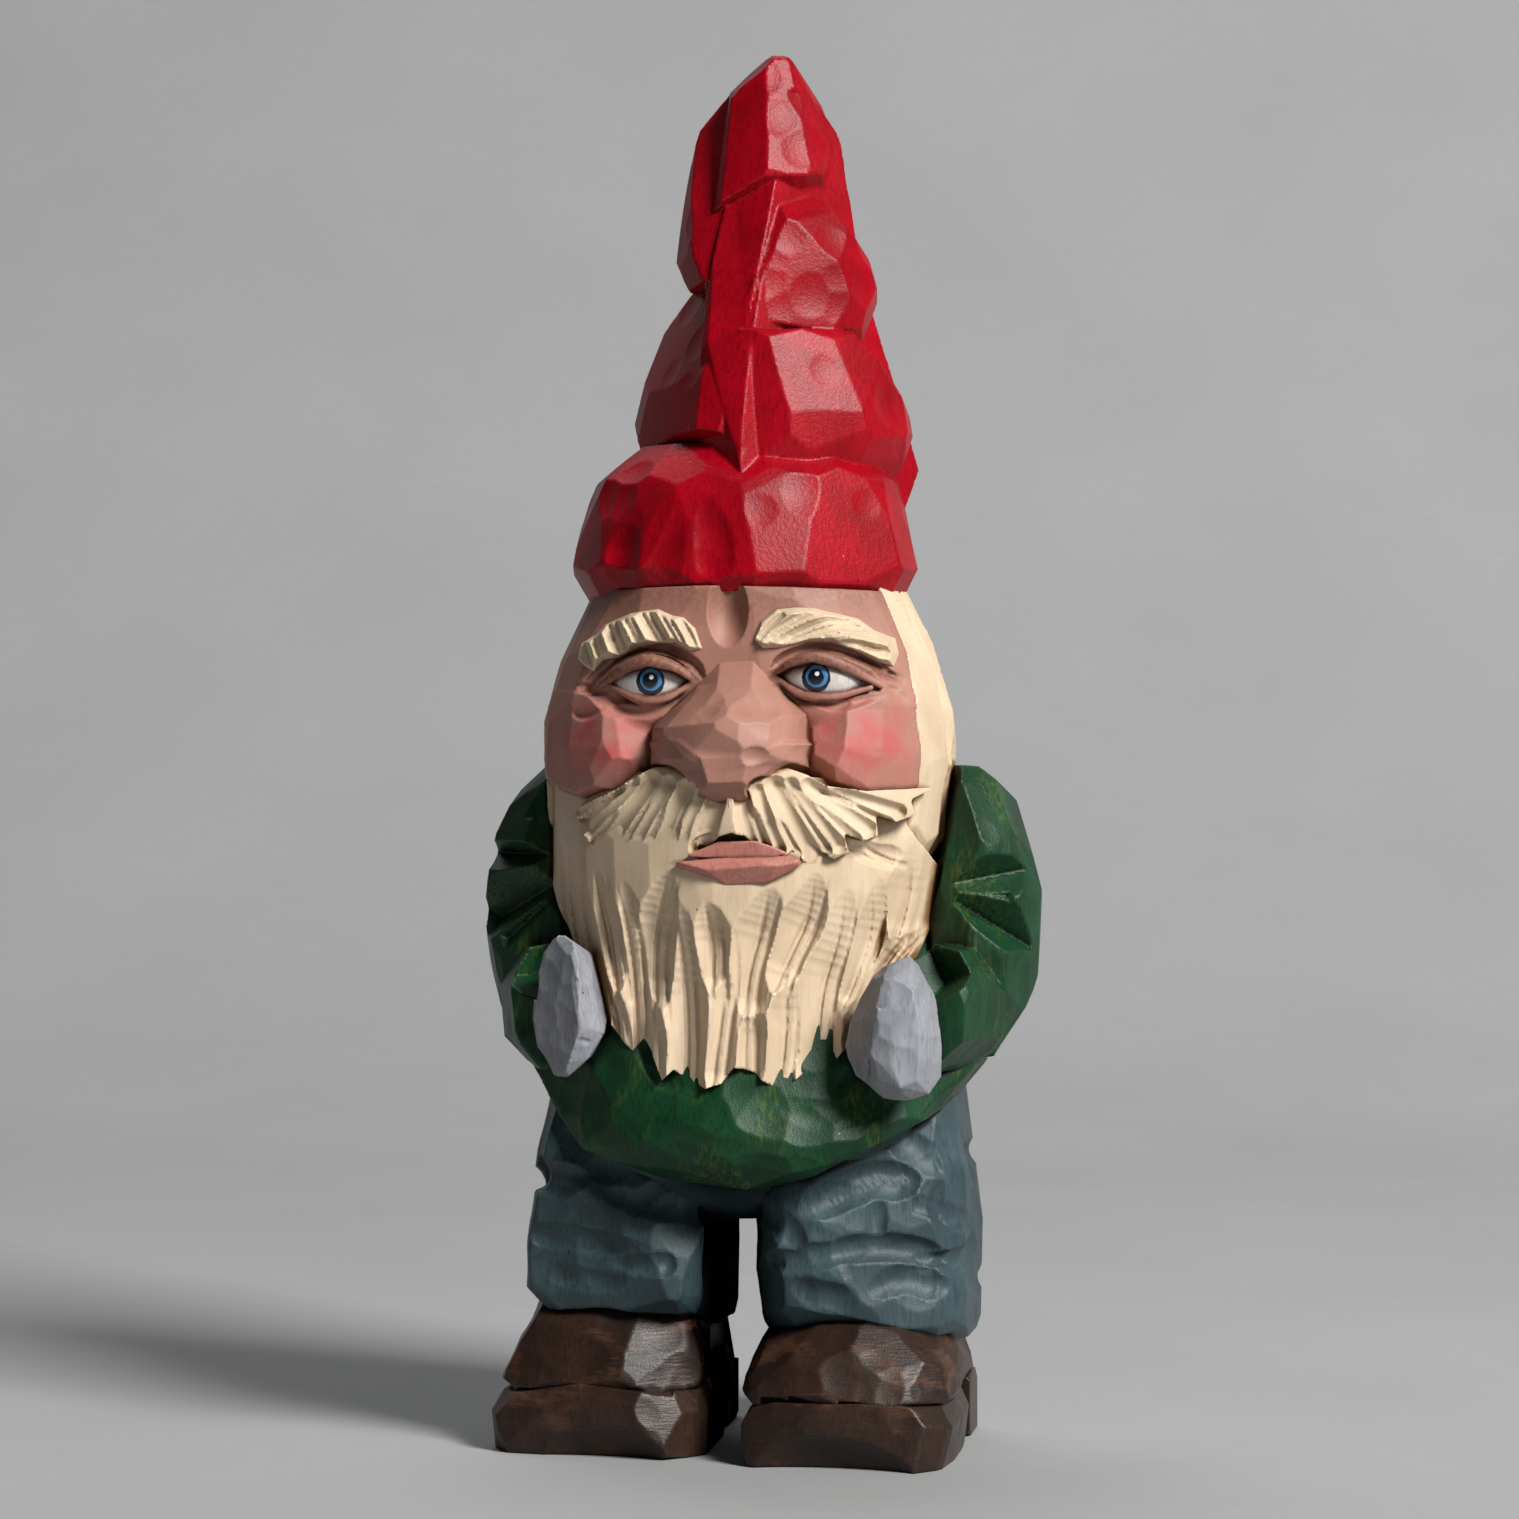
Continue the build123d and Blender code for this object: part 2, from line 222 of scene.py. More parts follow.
class Gouges:
    """Strokes of a round-nosed gouge on a surface laid out flat as (u, v)."""

    def __init__(self):
        self.strokes = []

    def stroke(self, points, depth, radius, start=0.25, end=0.25, pointed=False):
        """A cut along the points, which sinks to depth over the share start and rises over the share end."""
        line = smooth_line(points, 4 * len(points))
        t = np.linspace(0, 1, len(line))
        ramp = np.clip(np.minimum(t / max(start, 1e-3), (1 - t) / max(end, 1e-3)), 0, 1)
        depths = depth * (ramp**1.25 if pointed else np.sin(ramp * math.pi / 2)) - 0.02
        reach = math.sqrt(2 * radius * depth) + 0.2
        self.strokes.append((line, depths, radius, line.min(0) - reach, line.max(0) + reach))
        return self

    def __call__(self, u, v):
        """How deep the gouge went at each place, 0 where it did not."""
        out = np.zeros(len(u))
        for line, depths, radius, lowest, highest in self.strokes:
            near = (u > lowest[0]) & (u < highest[0]) & (v > lowest[1]) & (v < highest[1])
            if not near.any():
                continue
            q = np.stack([u[near], v[near]], 1)[:, None]
            a, d = line[:-1], np.diff(line, axis=0)
            t = np.clip(((q - a) * d).sum(2) / (d * d).sum(1), 0, 1)
            gap = ((q - a - t[:, :, None] * d) ** 2).sum(2)
            sunk = depths[:-1] + t * np.diff(depths) - gap / (2 * radius)
            out[near] = np.maximum(out[near], sunk.max(axis=1))
        return out


def strokes(table):
    """The gouge strokes of a table: line, depth, radius, and the shares that fade in and out."""
    cuts = Gouges()
    for line, depth, radius, start, end in table:
        cuts.stroke(line, depth, radius, start, end)
    return cuts


def outline(u, v, corners):
    """Signed distance to a closed outline, negative inside."""
    corners = np.asarray(corners, float)
    best = np.full(len(u), np.inf)
    inside = np.zeros(len(u), bool)
    for (ax, ay), (bx, by) in zip(corners, np.roll(corners, -1, axis=0)):
        dx, dy = bx - ax, by - ay
        t = np.clip(((u - ax) * dx + (v - ay) * dy) / (dx * dx + dy * dy), 0, 1)
        best = np.minimum(best, np.hypot(u - ax - t * dx, v - ay - t * dy))
        straddles = (ay > v) != (by > v)
        inside ^= straddles & (u < dx * (v - ay) / (dy if dy else 1e-9) + ax)
    return np.where(inside, -best, best)


# --- Dual contouring ---

BLOCK = 8  # voxels along one side of a block; only blocks that the surface may cross are sampled in full
BATCH = 12000  # points that a field looks up in one go
REACH = 1.1  # how many block widths from a block's middle the surface may be and still cross it
PULL = 0.05  # how firmly a vertex is held to the middle of its crossings


def sample(field, points):
    if len(points) == 0:
        return np.zeros(0)
    return np.concatenate([field(points[i : i + BATCH]) for i in range(0, len(points), BATCH)])


def gradient(field, points, step):
    corners = np.array([[1, 1, 1], [1, -1, -1], [-1, 1, -1], [-1, -1, 1]], float)
    slope = sum(corner * sample(field, points + step * corner)[:, None] for corner in corners)
    return slope / np.maximum(np.linalg.norm(slope, axis=1, keepdims=True), 1e-9)


def contour(field, lowest, highest, voxel):
    """Vertices and quads of the closed surface where the field is zero."""
    lowest = np.asarray(lowest) - 2 * voxel
    cells = (np.ceil((np.asarray(highest) + 2 * voxel - lowest) / (voxel * BLOCK)) * BLOCK).astype(int)
    middles = [lowest[i] + (np.arange(cells[i] // BLOCK) + 0.5) * BLOCK * voxel for i in range(3)]
    middles = np.stack(np.meshgrid(*middles, indexing="ij"), -1)
    blocks = sample(field, middles.reshape(-1, 3)).reshape(middles.shape[:3])

    def spread(a):
        return a.repeat(BLOCK, 0).repeat(BLOCK, 1).repeat(BLOCK, 2)

    grid = np.pad(spread(blocks), (0, 1), mode="edge")
    near = spread(np.abs(blocks) < REACH * BLOCK * voxel)
    active = np.zeros(cells + 1, bool)
    for shift in itertools.product((0, 1), repeat=3):
        active[tuple(slice(s, s + n) for s, n in zip(shift, cells))] |= near
    grid[active] = sample(field, lowest + np.argwhere(active) * voxel)
    for axis in range(3):
        for end in (0, -1):
            face = [slice(None)] * 3
            face[axis] = end
            grid[tuple(face)] = voxel
    inside = grid < 0
    points, owners, flips = [], [], []
    strides = np.array([cells[1] * cells[2], cells[2], 1])
    for axis in range(3):
        first, second = [slice(None)] * 3, [slice(None)] * 3
        first[axis], second[axis] = slice(None, -1), slice(1, None)
        at = np.argwhere(inside[tuple(first)] != inside[tuple(second)])
        step = np.eye(3, dtype=int)[axis]
        v0, v1 = grid[tuple(at.T)], grid[tuple((at + step).T)]
        t = v0 / (v0 - v1)
        start = lowest + at * voxel
        value = sample(field, start + t[:, None] * step * voxel)
        lower = (value < 0) == (v0 < 0)
        t = np.where(
            lower,
            t + (1 - t) * value / np.where(lower, value - v1, 1.0),
            t * v0 / np.where(lower, 1.0, v0 - value),
        )
        points.append(start + np.clip(t, 0, 1)[:, None] * step * voxel)
        b, c = np.eye(3, dtype=int)[(axis + 1) % 3], np.eye(3, dtype=int)[(axis + 2) % 3]
        owners.append(np.stack([(at + o) @ strides for o in (-b - c, -c, 0 * b, -b)], 1))
        flips.append(v0 >= 0)
    points, owners, flips = np.concatenate(points), np.concatenate(owners), np.concatenate(flips)
    normals = gradient(field, points, 0.12 * voxel)
    used = np.zeros(cells.prod(), bool)
    used[owners] = True
    index = np.cumsum(used) - 1
    quads = index[owners]
    total = int(used.sum())
    flat = quads.ravel()
    count = np.bincount(flat, minlength=total)

    def gathered(values):
        return np.bincount(flat, np.repeat(values, 4), total)

    mean = np.stack([gathered(points[:, i]) for i in range(3)], 1) / count[:, None]
    reach = (points * normals).sum(axis=1)
    matrix = np.empty((total, 3, 3))
    for i, j in itertools.combinations_with_replacement(range(3), 2):
        matrix[:, i, j] = matrix[:, j, i] = gathered(normals[:, i] * normals[:, j])
    right = np.stack([gathered(normals[:, i] * reach) for i in range(3)], 1)
    right -= (matrix @ mean[:, :, None])[:, :, 0]
    matrix += PULL * np.eye(3)
    vertices = mean + np.linalg.solve(matrix, right[:, :, None])[:, :, 0]
    corner = lowest + np.stack(np.unravel_index(np.flatnonzero(used), cells), 1) * voxel
    vertices = np.clip(vertices, corner, corner + voxel)
    quads[flips] = quads[flips][:, ::-1]
    return vertices, quads


def largest_island(vertices, quads, share=0.002):
    """Drops loose chips smaller than a share of the mass."""
    label = np.arange(len(vertices))
    edges = np.concatenate([quads[:, [0, 1]], quads[:, [1, 2]], quads[:, [2, 3]]])
    while True:
        smallest = label.copy()
        np.minimum.at(smallest, edges[:, 0], label[edges[:, 1]])
        np.minimum.at(smallest, edges[:, 1], label[edges[:, 0]])
        smallest = smallest[smallest]
        smallest = smallest[smallest]
        if (smallest == label).all():
            break
        label = smallest
    size = np.bincount(label, minlength=len(vertices))
    keep = size[label] > share * len(vertices)
    renumber = np.cumsum(keep) - 1
    return vertices[keep], renumber[quads[keep[quads[:, 0]]]]


# --- Paints ---


class Paint:
    """A painted-wood material whose nodes work in millimetres on the figure."""

    def __init__(self, name, roughness, coat=0.0, coat_roughness=0.3, specular=0.5):
        self.material = bpy.data.materials.new(name)
        self.material.use_nodes = True
        self.tree = self.material.node_tree
        self.tree.nodes.clear()
        self.shader = self.tree.nodes.new("ShaderNodeBsdfPrincipled")
        self.shader.inputs["Roughness"].default_value = roughness
        self.shader.inputs["Coat Weight"].default_value = coat
        self.shader.inputs["Coat Roughness"].default_value = coat_roughness
        self.specular = specular
        end = self.tree.nodes.new("ShaderNodeOutputMaterial")
        self.tree.links.new(self.shader.outputs[0], end.inputs[0])
        coordinates = self.tree.nodes.new("ShaderNodeTexCoord")
        self.place = self.math3("MULTIPLY", coordinates.outputs["Object"], (1 / MM, 1 / MM, 1 / MM))
        self.heights = []

    def node(self, kind, *inputs, **settings):
        made = self.tree.nodes.new(kind)
        for key, value in settings.items():
            setattr(made, key, value)
        for socket, value in zip(made.inputs, inputs):
            if value is None:
                continue
            if isinstance(value, bpy.types.NodeSocket):
                self.tree.links.new(value, socket)
            else:
                socket.default_value = value
        return made

    def math3(self, operation, *inputs):
        return self.node("ShaderNodeVectorMath", *inputs, operation=operation).outputs["Vector"]

    def math(self, operation, *inputs):
        return self.node("ShaderNodeMath", *inputs, operation=operation).outputs[0]

    def times(self, a, b):
        return self.math("MULTIPLY", a, b)

    def plus(self, a, b):
        return self.math("ADD", a, b)

    def noise(self, size, detail=3.0, stretch=(1, 1, 1), twist=0.0):
        """Noise from 0 to 1 with features about size mm, drawn out by stretch."""
        place = self.math3("DIVIDE", self.place, tuple(size * s for s in stretch))
        made = self.node("ShaderNodeTexNoise", place)
        made.inputs["Scale"].default_value = 1.0
        made.inputs["Detail"].default_value = detail
        made.inputs["Distortion"].default_value = twist
        return made.outputs["Fac"]

    def window(self, value, start, end):
        """0 up to start, 1 from end, straight between."""
        return self.node("ShaderNodeMapRange", value, start, end, 0.0, 1.0, clamp=True).outputs[0]

    def mix(self, share, a, b, blend="MIX"):
        made = self.tree.nodes.new("ShaderNodeMix")
        made.data_type = "RGBA"
        made.blend_type = blend
        for socket, value in ((made.inputs[0], share), (made.inputs[6], a), (made.inputs[7], b)):
            if isinstance(value, bpy.types.NodeSocket):
                self.tree.links.new(value, socket)
            elif isinstance(value, tuple):
                socket.default_value = (*value, 1.0)
            else:
                socket.default_value = value
        return made.outputs[2]

    def attribute(self, name):
        return self.node("ShaderNodeAttribute", attribute_name=name).outputs["Fac"]

    def specks(self, spacing, size, share):
        """Small round spots about size mm across, on a share of the cells of a mesh spacing mm wide."""
        place = self.math3("DIVIDE", self.place, (spacing,) * 3)
        cells = self.node("ShaderNodeTexVoronoi", place)
        cells.inputs["Scale"].default_value = 1.0
        spot = self.math("LESS_THAN", cells.outputs["Distance"], size / spacing / 2)
        chosen = self.node("ShaderNodeSeparateColor", cells.outputs["Color"]).outputs[0]
        return self.times(spot, self.math("LESS_THAN", chosen, share))

    def raise_by(self, value, height):
        self.heights.append(self.times(value, height))

    def finish(self, colour, roughness=None):
        """Joins the paint to the shader; where the shade lies there is no gloss either."""
        self.tree.links.new(colour, self.shader.inputs["Base Color"])
        shade = self.attribute("shade")
        if roughness is not None:
            self.tree.links.new(self.math("MAXIMUM", roughness, shade), self.shader.inputs["Roughness"])
        gloss = self.times(self.math("SUBTRACT", 1.0, shade), self.specular)
        self.tree.links.new(gloss, self.shader.inputs["Specular IOR Level"])
        total = self.heights[0]
        for height in self.heights[1:]:
            total = self.plus(total, height)
        bump = self.node("ShaderNodeBump")
        bump.inputs["Strength"].default_value = 1.0
        bump.inputs["Distance"].default_value = MM
        self.tree.links.new(total, bump.inputs["Height"])
        self.tree.links.new(bump.outputs[0], self.shader.inputs["Normal"])
        return self.material


# Brown of the antiquing left in the cuts; it also darkens the hollows as painted shade.
WASH_AND_SHADE_BROWN = (0.07, 0.032, 0.014)


def acrylic(
    paint, light, dark, wash_and_shade=WASH_AND_SHADE_BROWN, depth=1.0, streak=0.02, grain=0.012, edge=None, pits=0.04, lines=1.0
):
    """The coat every mass shares: uneven colour, brush streaks, fine grain, antiquing and painted shade in
    the cuts.

    Gives back the colour and the grain.
    """
    broad = paint.noise(7.0, 3.0, twist=0.6)
    colour = paint.mix(paint.window(broad, 0.35, 0.68), light, dark)
    brush = paint.noise(0.28, 4.0, (1, 1, 9), 0.4)
    streaks = paint.times(paint.window(brush, 0.48, 0.80), lines)
    colour = paint.mix(streaks, colour, tuple(c * 0.72 for c in dark))
    fine = paint.noise(0.16, 2.0)
    # Worn paint and painted highlight: a lighter copy of the paint on the sharp ridges.
    if edge:
        worn_and_highlit = paint.times(paint.window(paint.attribute("edge"), 0.12, 0.5), paint.window(broad, 0.3, 0.6))
        colour = paint.mix(worn_and_highlit, colour, edge)
    # Brown antiquing and painted shade: the colour darkens where the surface is enclosed, in cuts, corners
    # and gaps.
    wash_and_shade_share = paint.plus(paint.attribute("wash_and_shade"), paint.times(fine, 0.25))
    wash_and_shade_share = paint.plus(wash_and_shade_share, paint.times(paint.noise(1.3, 3.0), 0.35))
    wash_and_shade_share = paint.times(paint.window(wash_and_shade_share, 0.62, 1.25), depth)
    colour = paint.mix(wash_and_shade_share, colour, wash_and_shade)
    spots = paint.specks(1.7, 0.22, pits)
    colour = paint.mix(spots, colour, tuple(c * 0.8 for c in wash_and_shade))
    # Painted shade: nearly black where the shade attribute lies, between the legs and under the belly.
    colour = paint.mix(paint.attribute("shade"), colour, tuple(c * 0.12 for c in dark))
    paint.raise_by(brush, streak)
    paint.raise_by(fine, grain)
    paint.raise_by(spots, -0.03)
    return colour, fine


def hat_paint():
    paint = Paint("hat_red_paint", 0.42, specular=0.18)
    colour, fine = acrylic(
        paint, (0.36, 0.001, 0.009), (0.23, 0.0005, 0.005), (0.03, 0.001, 0.002), 0.6, 0.006, 0.02,
        edge=(0.40, 0.012, 0.018), pits=0.03,
    )
    dust = paint.specks(2.6, 0.16, 0.10)
    colour = paint.mix(paint.times(dust, 0.8), colour, (0.62, 0.30, 0.28))
    paint.raise_by(paint.noise(0.42, 3.0), 0.035)
    return paint.finish(colour, paint.plus(0.28, paint.times(fine, 0.18)))


def skin_paint():
    paint = Paint("skin_paint", 0.55, specular=0.4)
    colour, _ = acrylic(
        paint, (0.415, 0.202, 0.152), (0.33, 0.152, 0.110), (0.10, 0.036, 0.018), 1.05, 0.018, 0.014,
        edge=(0.58, 0.34, 0.27), pits=0.015, lines=0.25,
    )
    ruddy = paint.times(paint.attribute("blush"), paint.window(paint.noise(2.4, 3.0), 0.22, 0.62))
    colour = paint.mix(ruddy, colour, (0.46, 0.085, 0.085))
    # The lid attribute: brown paint round the eyes, and antiquing with painted shade under the hat brim.
    lid = paint.times(paint.attribute("lid"), paint.window(paint.noise(0.5, 3.0), 0.1, 0.6))
    colour = paint.mix(lid, colour, (0.17, 0.062, 0.036))
    return paint.finish(colour)


def hair_paint():
    paint = Paint("hair_cream_paint", 0.6, specular=0.35)
    colour, _ = acrylic(
        paint, (0.67, 0.525, 0.37), (0.56, 0.42, 0.275), (0.24, 0.125, 0.048), 1.15, 0.014, 0.012,
        edge=(0.84, 0.68, 0.50), pits=0.05, lines=0.3,
    )
    return paint.finish(colour)


def sweater_paint():
    paint = Paint("sweater_green_paint", 0.42, specular=0.25)
    colour, fine = acrylic(
        paint, (0.008, 0.056, 0.020), (0.004, 0.026, 0.010), (0.002, 0.005, 0.003), 0.95, 0.022, 0.032,
        edge=(0.03, 0.09, 0.04), pits=0.02,
    )
    patch = paint.window(paint.noise(4.5, 2.0, (1, 1, 1.8)), 0.52, 0.66)
    dry = paint.times(patch, paint.window(paint.noise(0.35, 4.0, (1, 1, 7)), 0.46, 0.62))
    colour = paint.mix(paint.times(dry, 0.4), colour, (0.10, 0.14, 0.014))
    dust = paint.specks(2.2, 0.15, 0.16)
    colour = paint.mix(dust, colour, (0.42, 0.50, 0.40))
    return paint.finish(colour, paint.plus(0.30, paint.times(fine, 0.25)))


def mitten_paint():
    paint = Paint("mitten_grey_paint", 0.62)
    colour, _ = acrylic(
        paint, (0.285, 0.292, 0.32), (0.215, 0.222, 0.247), (0.06, 0.04, 0.032), 0.85, 0.03, 0.010,
        edge=(0.38, 0.39, 0.42), pits=0.07,
    )
    return paint.finish(colour)


def trouser_paint():
    paint = Paint("trouser_blue_paint", 0.4, specular=0.32)
    colour, fine = acrylic(
        paint, (0.046, 0.080, 0.090), (0.026, 0.046, 0.053), (0.004, 0.005, 0.006), 0.95, 0.02, 0.03,
        edge=(0.09, 0.13, 0.14), pits=0.04,
    )
    return paint.finish(colour, paint.plus(0.34, paint.times(fine, 0.3)))


def boot_paint():
    paint = Paint("boot_brown_paint", 0.38, specular=0.3)
    colour, fine = acrylic(
        paint, (0.040, 0.020, 0.013), (0.020, 0.011, 0.008), (0.005, 0.003, 0.002), 0.9, 0.0, 0.02,
        edge=(0.085, 0.042, 0.025), pits=0.03,
    )
    grain = paint.noise(0.32, 4.0, (8, 8, 1), 0.8)
    rubbed = paint.times(paint.window(paint.noise(3.6, 3.0, (1.6, 1, 1)), 0.48, 0.66), grain)
    rubbed = paint.times(paint.window(rubbed, 0.25, 0.72), 0.6)
    colour = paint.mix(rubbed, colour, (0.13, 0.055, 0.026))
    paint.raise_by(grain, 0.045)
    return paint.finish(colour, paint.plus(0.27, paint.times(fine, 0.25)))


def lip_paint():
    paint = Paint("lip_rose_paint", 0.5)
    colour, _ = acrylic(
        paint, (0.50, 0.20, 0.155), (0.40, 0.145, 0.115), (0.05, 0.016, 0.010), 0.95, 0.03, 0.010,
        edge=(0.50, 0.24, 0.20), pits=0.05,
    )
    return paint.finish(colour)


# From the back to the front: how far right and up of the eye's middle, radius and colour; the last is a
# painted highlight.
EYE_DISCS = (
    (0.0, 0.0, 1.50, (0.003, 0.007, 0.020)),
    (0.10, 0.14, 1.14, (0.07, 0.22, 0.42)),
    (-0.02, 0.05, 0.88, (0.02, 0.075, 0.20)),
    (0.04, 0.08, 0.72, (0.07, 0.22, 0.40)),
    (0.0, 0.10, 0.78, (0.003, 0.004, 0.006)),
    # A painted highlight: a dot of white up and to the right of the pupil.
    (0.14, 0.42, 0.22, (0.85, 0.88, 0.90)),
)


def eye_paint(name, middle):
    """White of the eye with a hand-painted blue iris, its dark rim, the pupil and a painted highlight, a dot
    of white.
    """
    paint = Paint(name, 0.3, coat=0.4, coat_roughness=0.15)
    colour, _ = acrylic(
        paint, (0.66, 0.62, 0.58), (0.54, 0.49, 0.46), (0.10, 0.04, 0.025), 1.0, 0.012, 0.006, pits=0.05
    )
    wobble = paint.times(paint.math("SUBTRACT", paint.noise(0.5, 2.0), 0.5), 0.22)

    for dx, dz, radius, shade in EYE_DISCS:
        away = paint.math3("SUBTRACT", paint.place, (middle[0] + dx, 0.0, middle[1] + dz))
        flat = paint.math3("MULTIPLY", away, (1.0, 0.0, 1.0))
        length = paint.node("ShaderNodeVectorMath", flat, operation="LENGTH").outputs["Value"]
        rim = paint.plus(length, wobble)
        colour = paint.mix(paint.window(rim, radius + 0.05, radius - 0.05), colour, shade)
    return paint.finish(colour)


# --- From fields to pieces ---

MASSES = []


def carve(nodes, field, paint, slot, voxel, margin=2.5, **tints):
    """Puts a mass on the list: it replaces the CAD nodes and wears the paint and its tint attributes."""
    lowest = np.min([low(n) for n in nodes], axis=0) - margin
    highest = np.max([high(n) for n in nodes], axis=0) + margin
    lowest[2] = max(lowest[2], 0.0)
    MASSES.append((nodes, field, paint, slot, voxel, lowest, highest, tints))


def nearest_mass(p):
    """Distance to the whole figure, looked up only in the masses near each point."""
    best = np.full(len(p), 9.0)
    for _, field, _, _, _, lowest, highest, _ in MASSES:
        near = ((p > lowest - 1.5) & (p < highest + 1.5)).all(axis=1)
        if near.any():
            best[near] = np.minimum(best[near], field(p[near]))
    return best


def mesh_from(name, vertices, quads):
    mesh = bpy.data.meshes.new(name)
    mesh.vertices.add(len(vertices))
    mesh.vertices.foreach_set("co", (vertices * MM).ravel())
    mesh.loops.add(quads.size)
    mesh.loops.foreach_set("vertex_index", quads.ravel().astype(np.int32))
    mesh.polygons.add(len(quads))
    mesh.polygons.foreach_set("loop_start", np.arange(0, quads.size, 4, dtype=np.int32))
    mesh.update(calc_edges=True)
    mesh.validate()
    mesh.shade_smooth()
    return mesh


def write_attribute(mesh, name, values):
    layer = mesh.attributes.new(name, "FLOAT", "POINT")
    layer.data.foreach_set("value", np.asarray(values, np.float32))


# How far out in mm the room around a point is looked up, and how much each look counts.
PROBES = ((0.5, 0.45), (1.2, 0.35), (2.6, 0.30))


def wash_and_shade_of(vertices, normals):
    """How enclosed each point is, from 0 in the open to about 1 at the bottom of a cut."""
    total = np.zeros(len(vertices))
    for reach, weight in PROBES:
        clear = sample(nearest_mass, vertices + normals * reach) / reach
        total += weight * np.clip(1 - clear, 0, 1.4)
    return total


def edge_of(vertices, quads, normals):
    """How sharply the surface turns outwards at each vertex, from 0 on the flat."""
    total, count = np.zeros(len(vertices)), np.zeros(len(vertices))
    for a, b in ((0, 1), (1, 2), (2, 3), (3, 0)):
        one, two = quads[:, a], quads[:, b]
        along = vertices[two] - vertices[one]
        along /= np.maximum(np.linalg.norm(along, axis=1, keepdims=True), 1e-9)
        total += np.bincount(one, -(along * normals[one]).sum(1), len(vertices))
        total += np.bincount(two, (along * normals[two]).sum(1), len(vertices))
        count += np.bincount(one, minlength=len(vertices)) + np.bincount(two, minlength=len(vertices))
    return total / np.maximum(count, 1)


def build_pieces():
    made = []
    for nodes, field, paint, slot, voxel, lowest, highest, tints in MASSES:
        name = "carved_" + nodes[0]
        vertices, quads = largest_island(*contour(field, lowest, highest, voxel))
        mesh = mesh_from(name, vertices, quads)
        piece = bpy.data.objects.new(name, mesh)
        bpy.context.scene.collection.objects.link(piece)
        mesh.materials.append(paint)
        normals = np.empty(len(vertices) * 3, np.float32)
        mesh.vertices.foreach_get("normal", normals)
        normals = normals.reshape(-1, 3).astype(float)
        # Enclosure of each vertex: it sets the brown antiquing and the painted shade in the hollows.
        write_attribute(mesh, "wash_and_shade", wash_and_shade_of(vertices, normals))
        write_attribute(mesh, "edge", edge_of(vertices, quads, normals))
        for tint, shade in tints.items():
            write_attribute(mesh, tint, shade(vertices))
        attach(piece, "root")
        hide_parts(*nodes)
        made.append((name, len(quads)))
    print("PIECES", made)


# --- Where the groups stand ---

HAT = foot("hat") * (0, 1, 1)
HEAD = np.array([centre("hair")[0], 0.0, low("face")[2]])
BODY = np.array([0.0, 0.0, low("sweater")[2]])
FLOOR = np.zeros(3)
HAIR_LINE = high("face")[1]


def shaved(origin, points, count, depth, seed, hollow=0.003):
    """A convex mass with these corners, whose corners are then shaved by count more knife cuts."""
    rng = np.random.default_rng(seed)
    mass = hull(origin, points)
    corners = np.asarray(points, float) + origin
    middle = corners.mean(axis=0)
    for _ in range(count):
        way = unit(rng.normal(size=3))
        reach = ((corners - middle) @ way).max()
        mass.cut(middle + way * (reach - depth * rng.uniform(0.4, 1.3)), way, hollow, rng.normal(size=3))
    return mass


def facing(azimuth, elevation):
    """The direction so many degrees round from the front, towards the figure's left, and so many up."""
    azimuth, elevation = math.radians(azimuth), math.radians(elevation)
    level = math.cos(elevation)
    return np.array([math.sin(azimuth) * level, -math.cos(azimuth) * level, math.sin(elevation)])


def askew(i):
    """A direction to hollow the flat number i along, so that no two neighbours have the same one."""
    return math.sin(2.4 * i), 0.3, math.cos(2.4 * i)


def planed(mass, origin, table, depth=0.35, hollow=0.006):
    """The mass with flats planed on its front: where (x, z), which way round each faces and how far up."""
    for i, (x, z, azimuth, elevation) in enumerate(table):
        ray = np.array([(x, y, z) for y in np.arange(-32, 0, 0.05)]) + origin
        at = ray[np.argmax(mass(ray) < 0)]
        mass.cut(at + (0, depth, 0), facing(azimuth, elevation), hollow, askew(i))
    return mass


NEAR = 1.4  # mm from the surface within which the shallow cuts are worked out


def whittled(mass, middle, spread, count, seed, depth=0.2, radius=16.0):
    """The mass after count more shallow cuts of a wide gouge, scattered over its surface."""
    rng = np.random.default_rng(seed)
    at = np.asarray(middle) + rng.normal(size=(count, 3)) * spread
    for _ in range(12):
        at = at - mass(at)[:, None] * gradient(mass, at, 0.1)
    depths = depth * rng.uniform(0.5, 1.4, count)
    tools = at + gradient(mass, at, 0.4) * (radius - depths)[:, None]
    reach = 1.3 * np.sqrt(2 * radius * depths)

    def away(p, spots):
        square = (p * p).sum(axis=1)[:, None] - 2 * p @ spots.T + (spots * spots).sum(axis=1)
        return np.sqrt(np.maximum(square, 0))

    def field(p):
        value = mass(p)
        near = np.flatnonzero(np.abs(value) < NEAR)
        if len(near):
            bite = np.minimum(radius - away(p[near], tools), reach - away(p[near], at))
            value[near] = np.maximum(value[near], bite.max(axis=1))
        return value

    return field


def notch(start, end, out, width, depth):
    """A V-cut along a line on the surface, which opens towards out and runs out at both ends."""
    start, end = np.asarray(start, float), np.asarray(end, float)
    along = unit(end - start)
    out = np.asarray(out, float)
    out = unit(out - along * (out @ along))
    up = np.cross(along, out)
    wedge = Cuts()
    tip = (start + end) / 2 - out * depth
    for way in (1, -1):
        wedge.cut(tip, up * depth * way - out * width / 2)
    wedge.cut(end, along - out * 0.5)
    wedge.cut(start, -along - out * 0.5)
    return wedge


# --- Hat ---

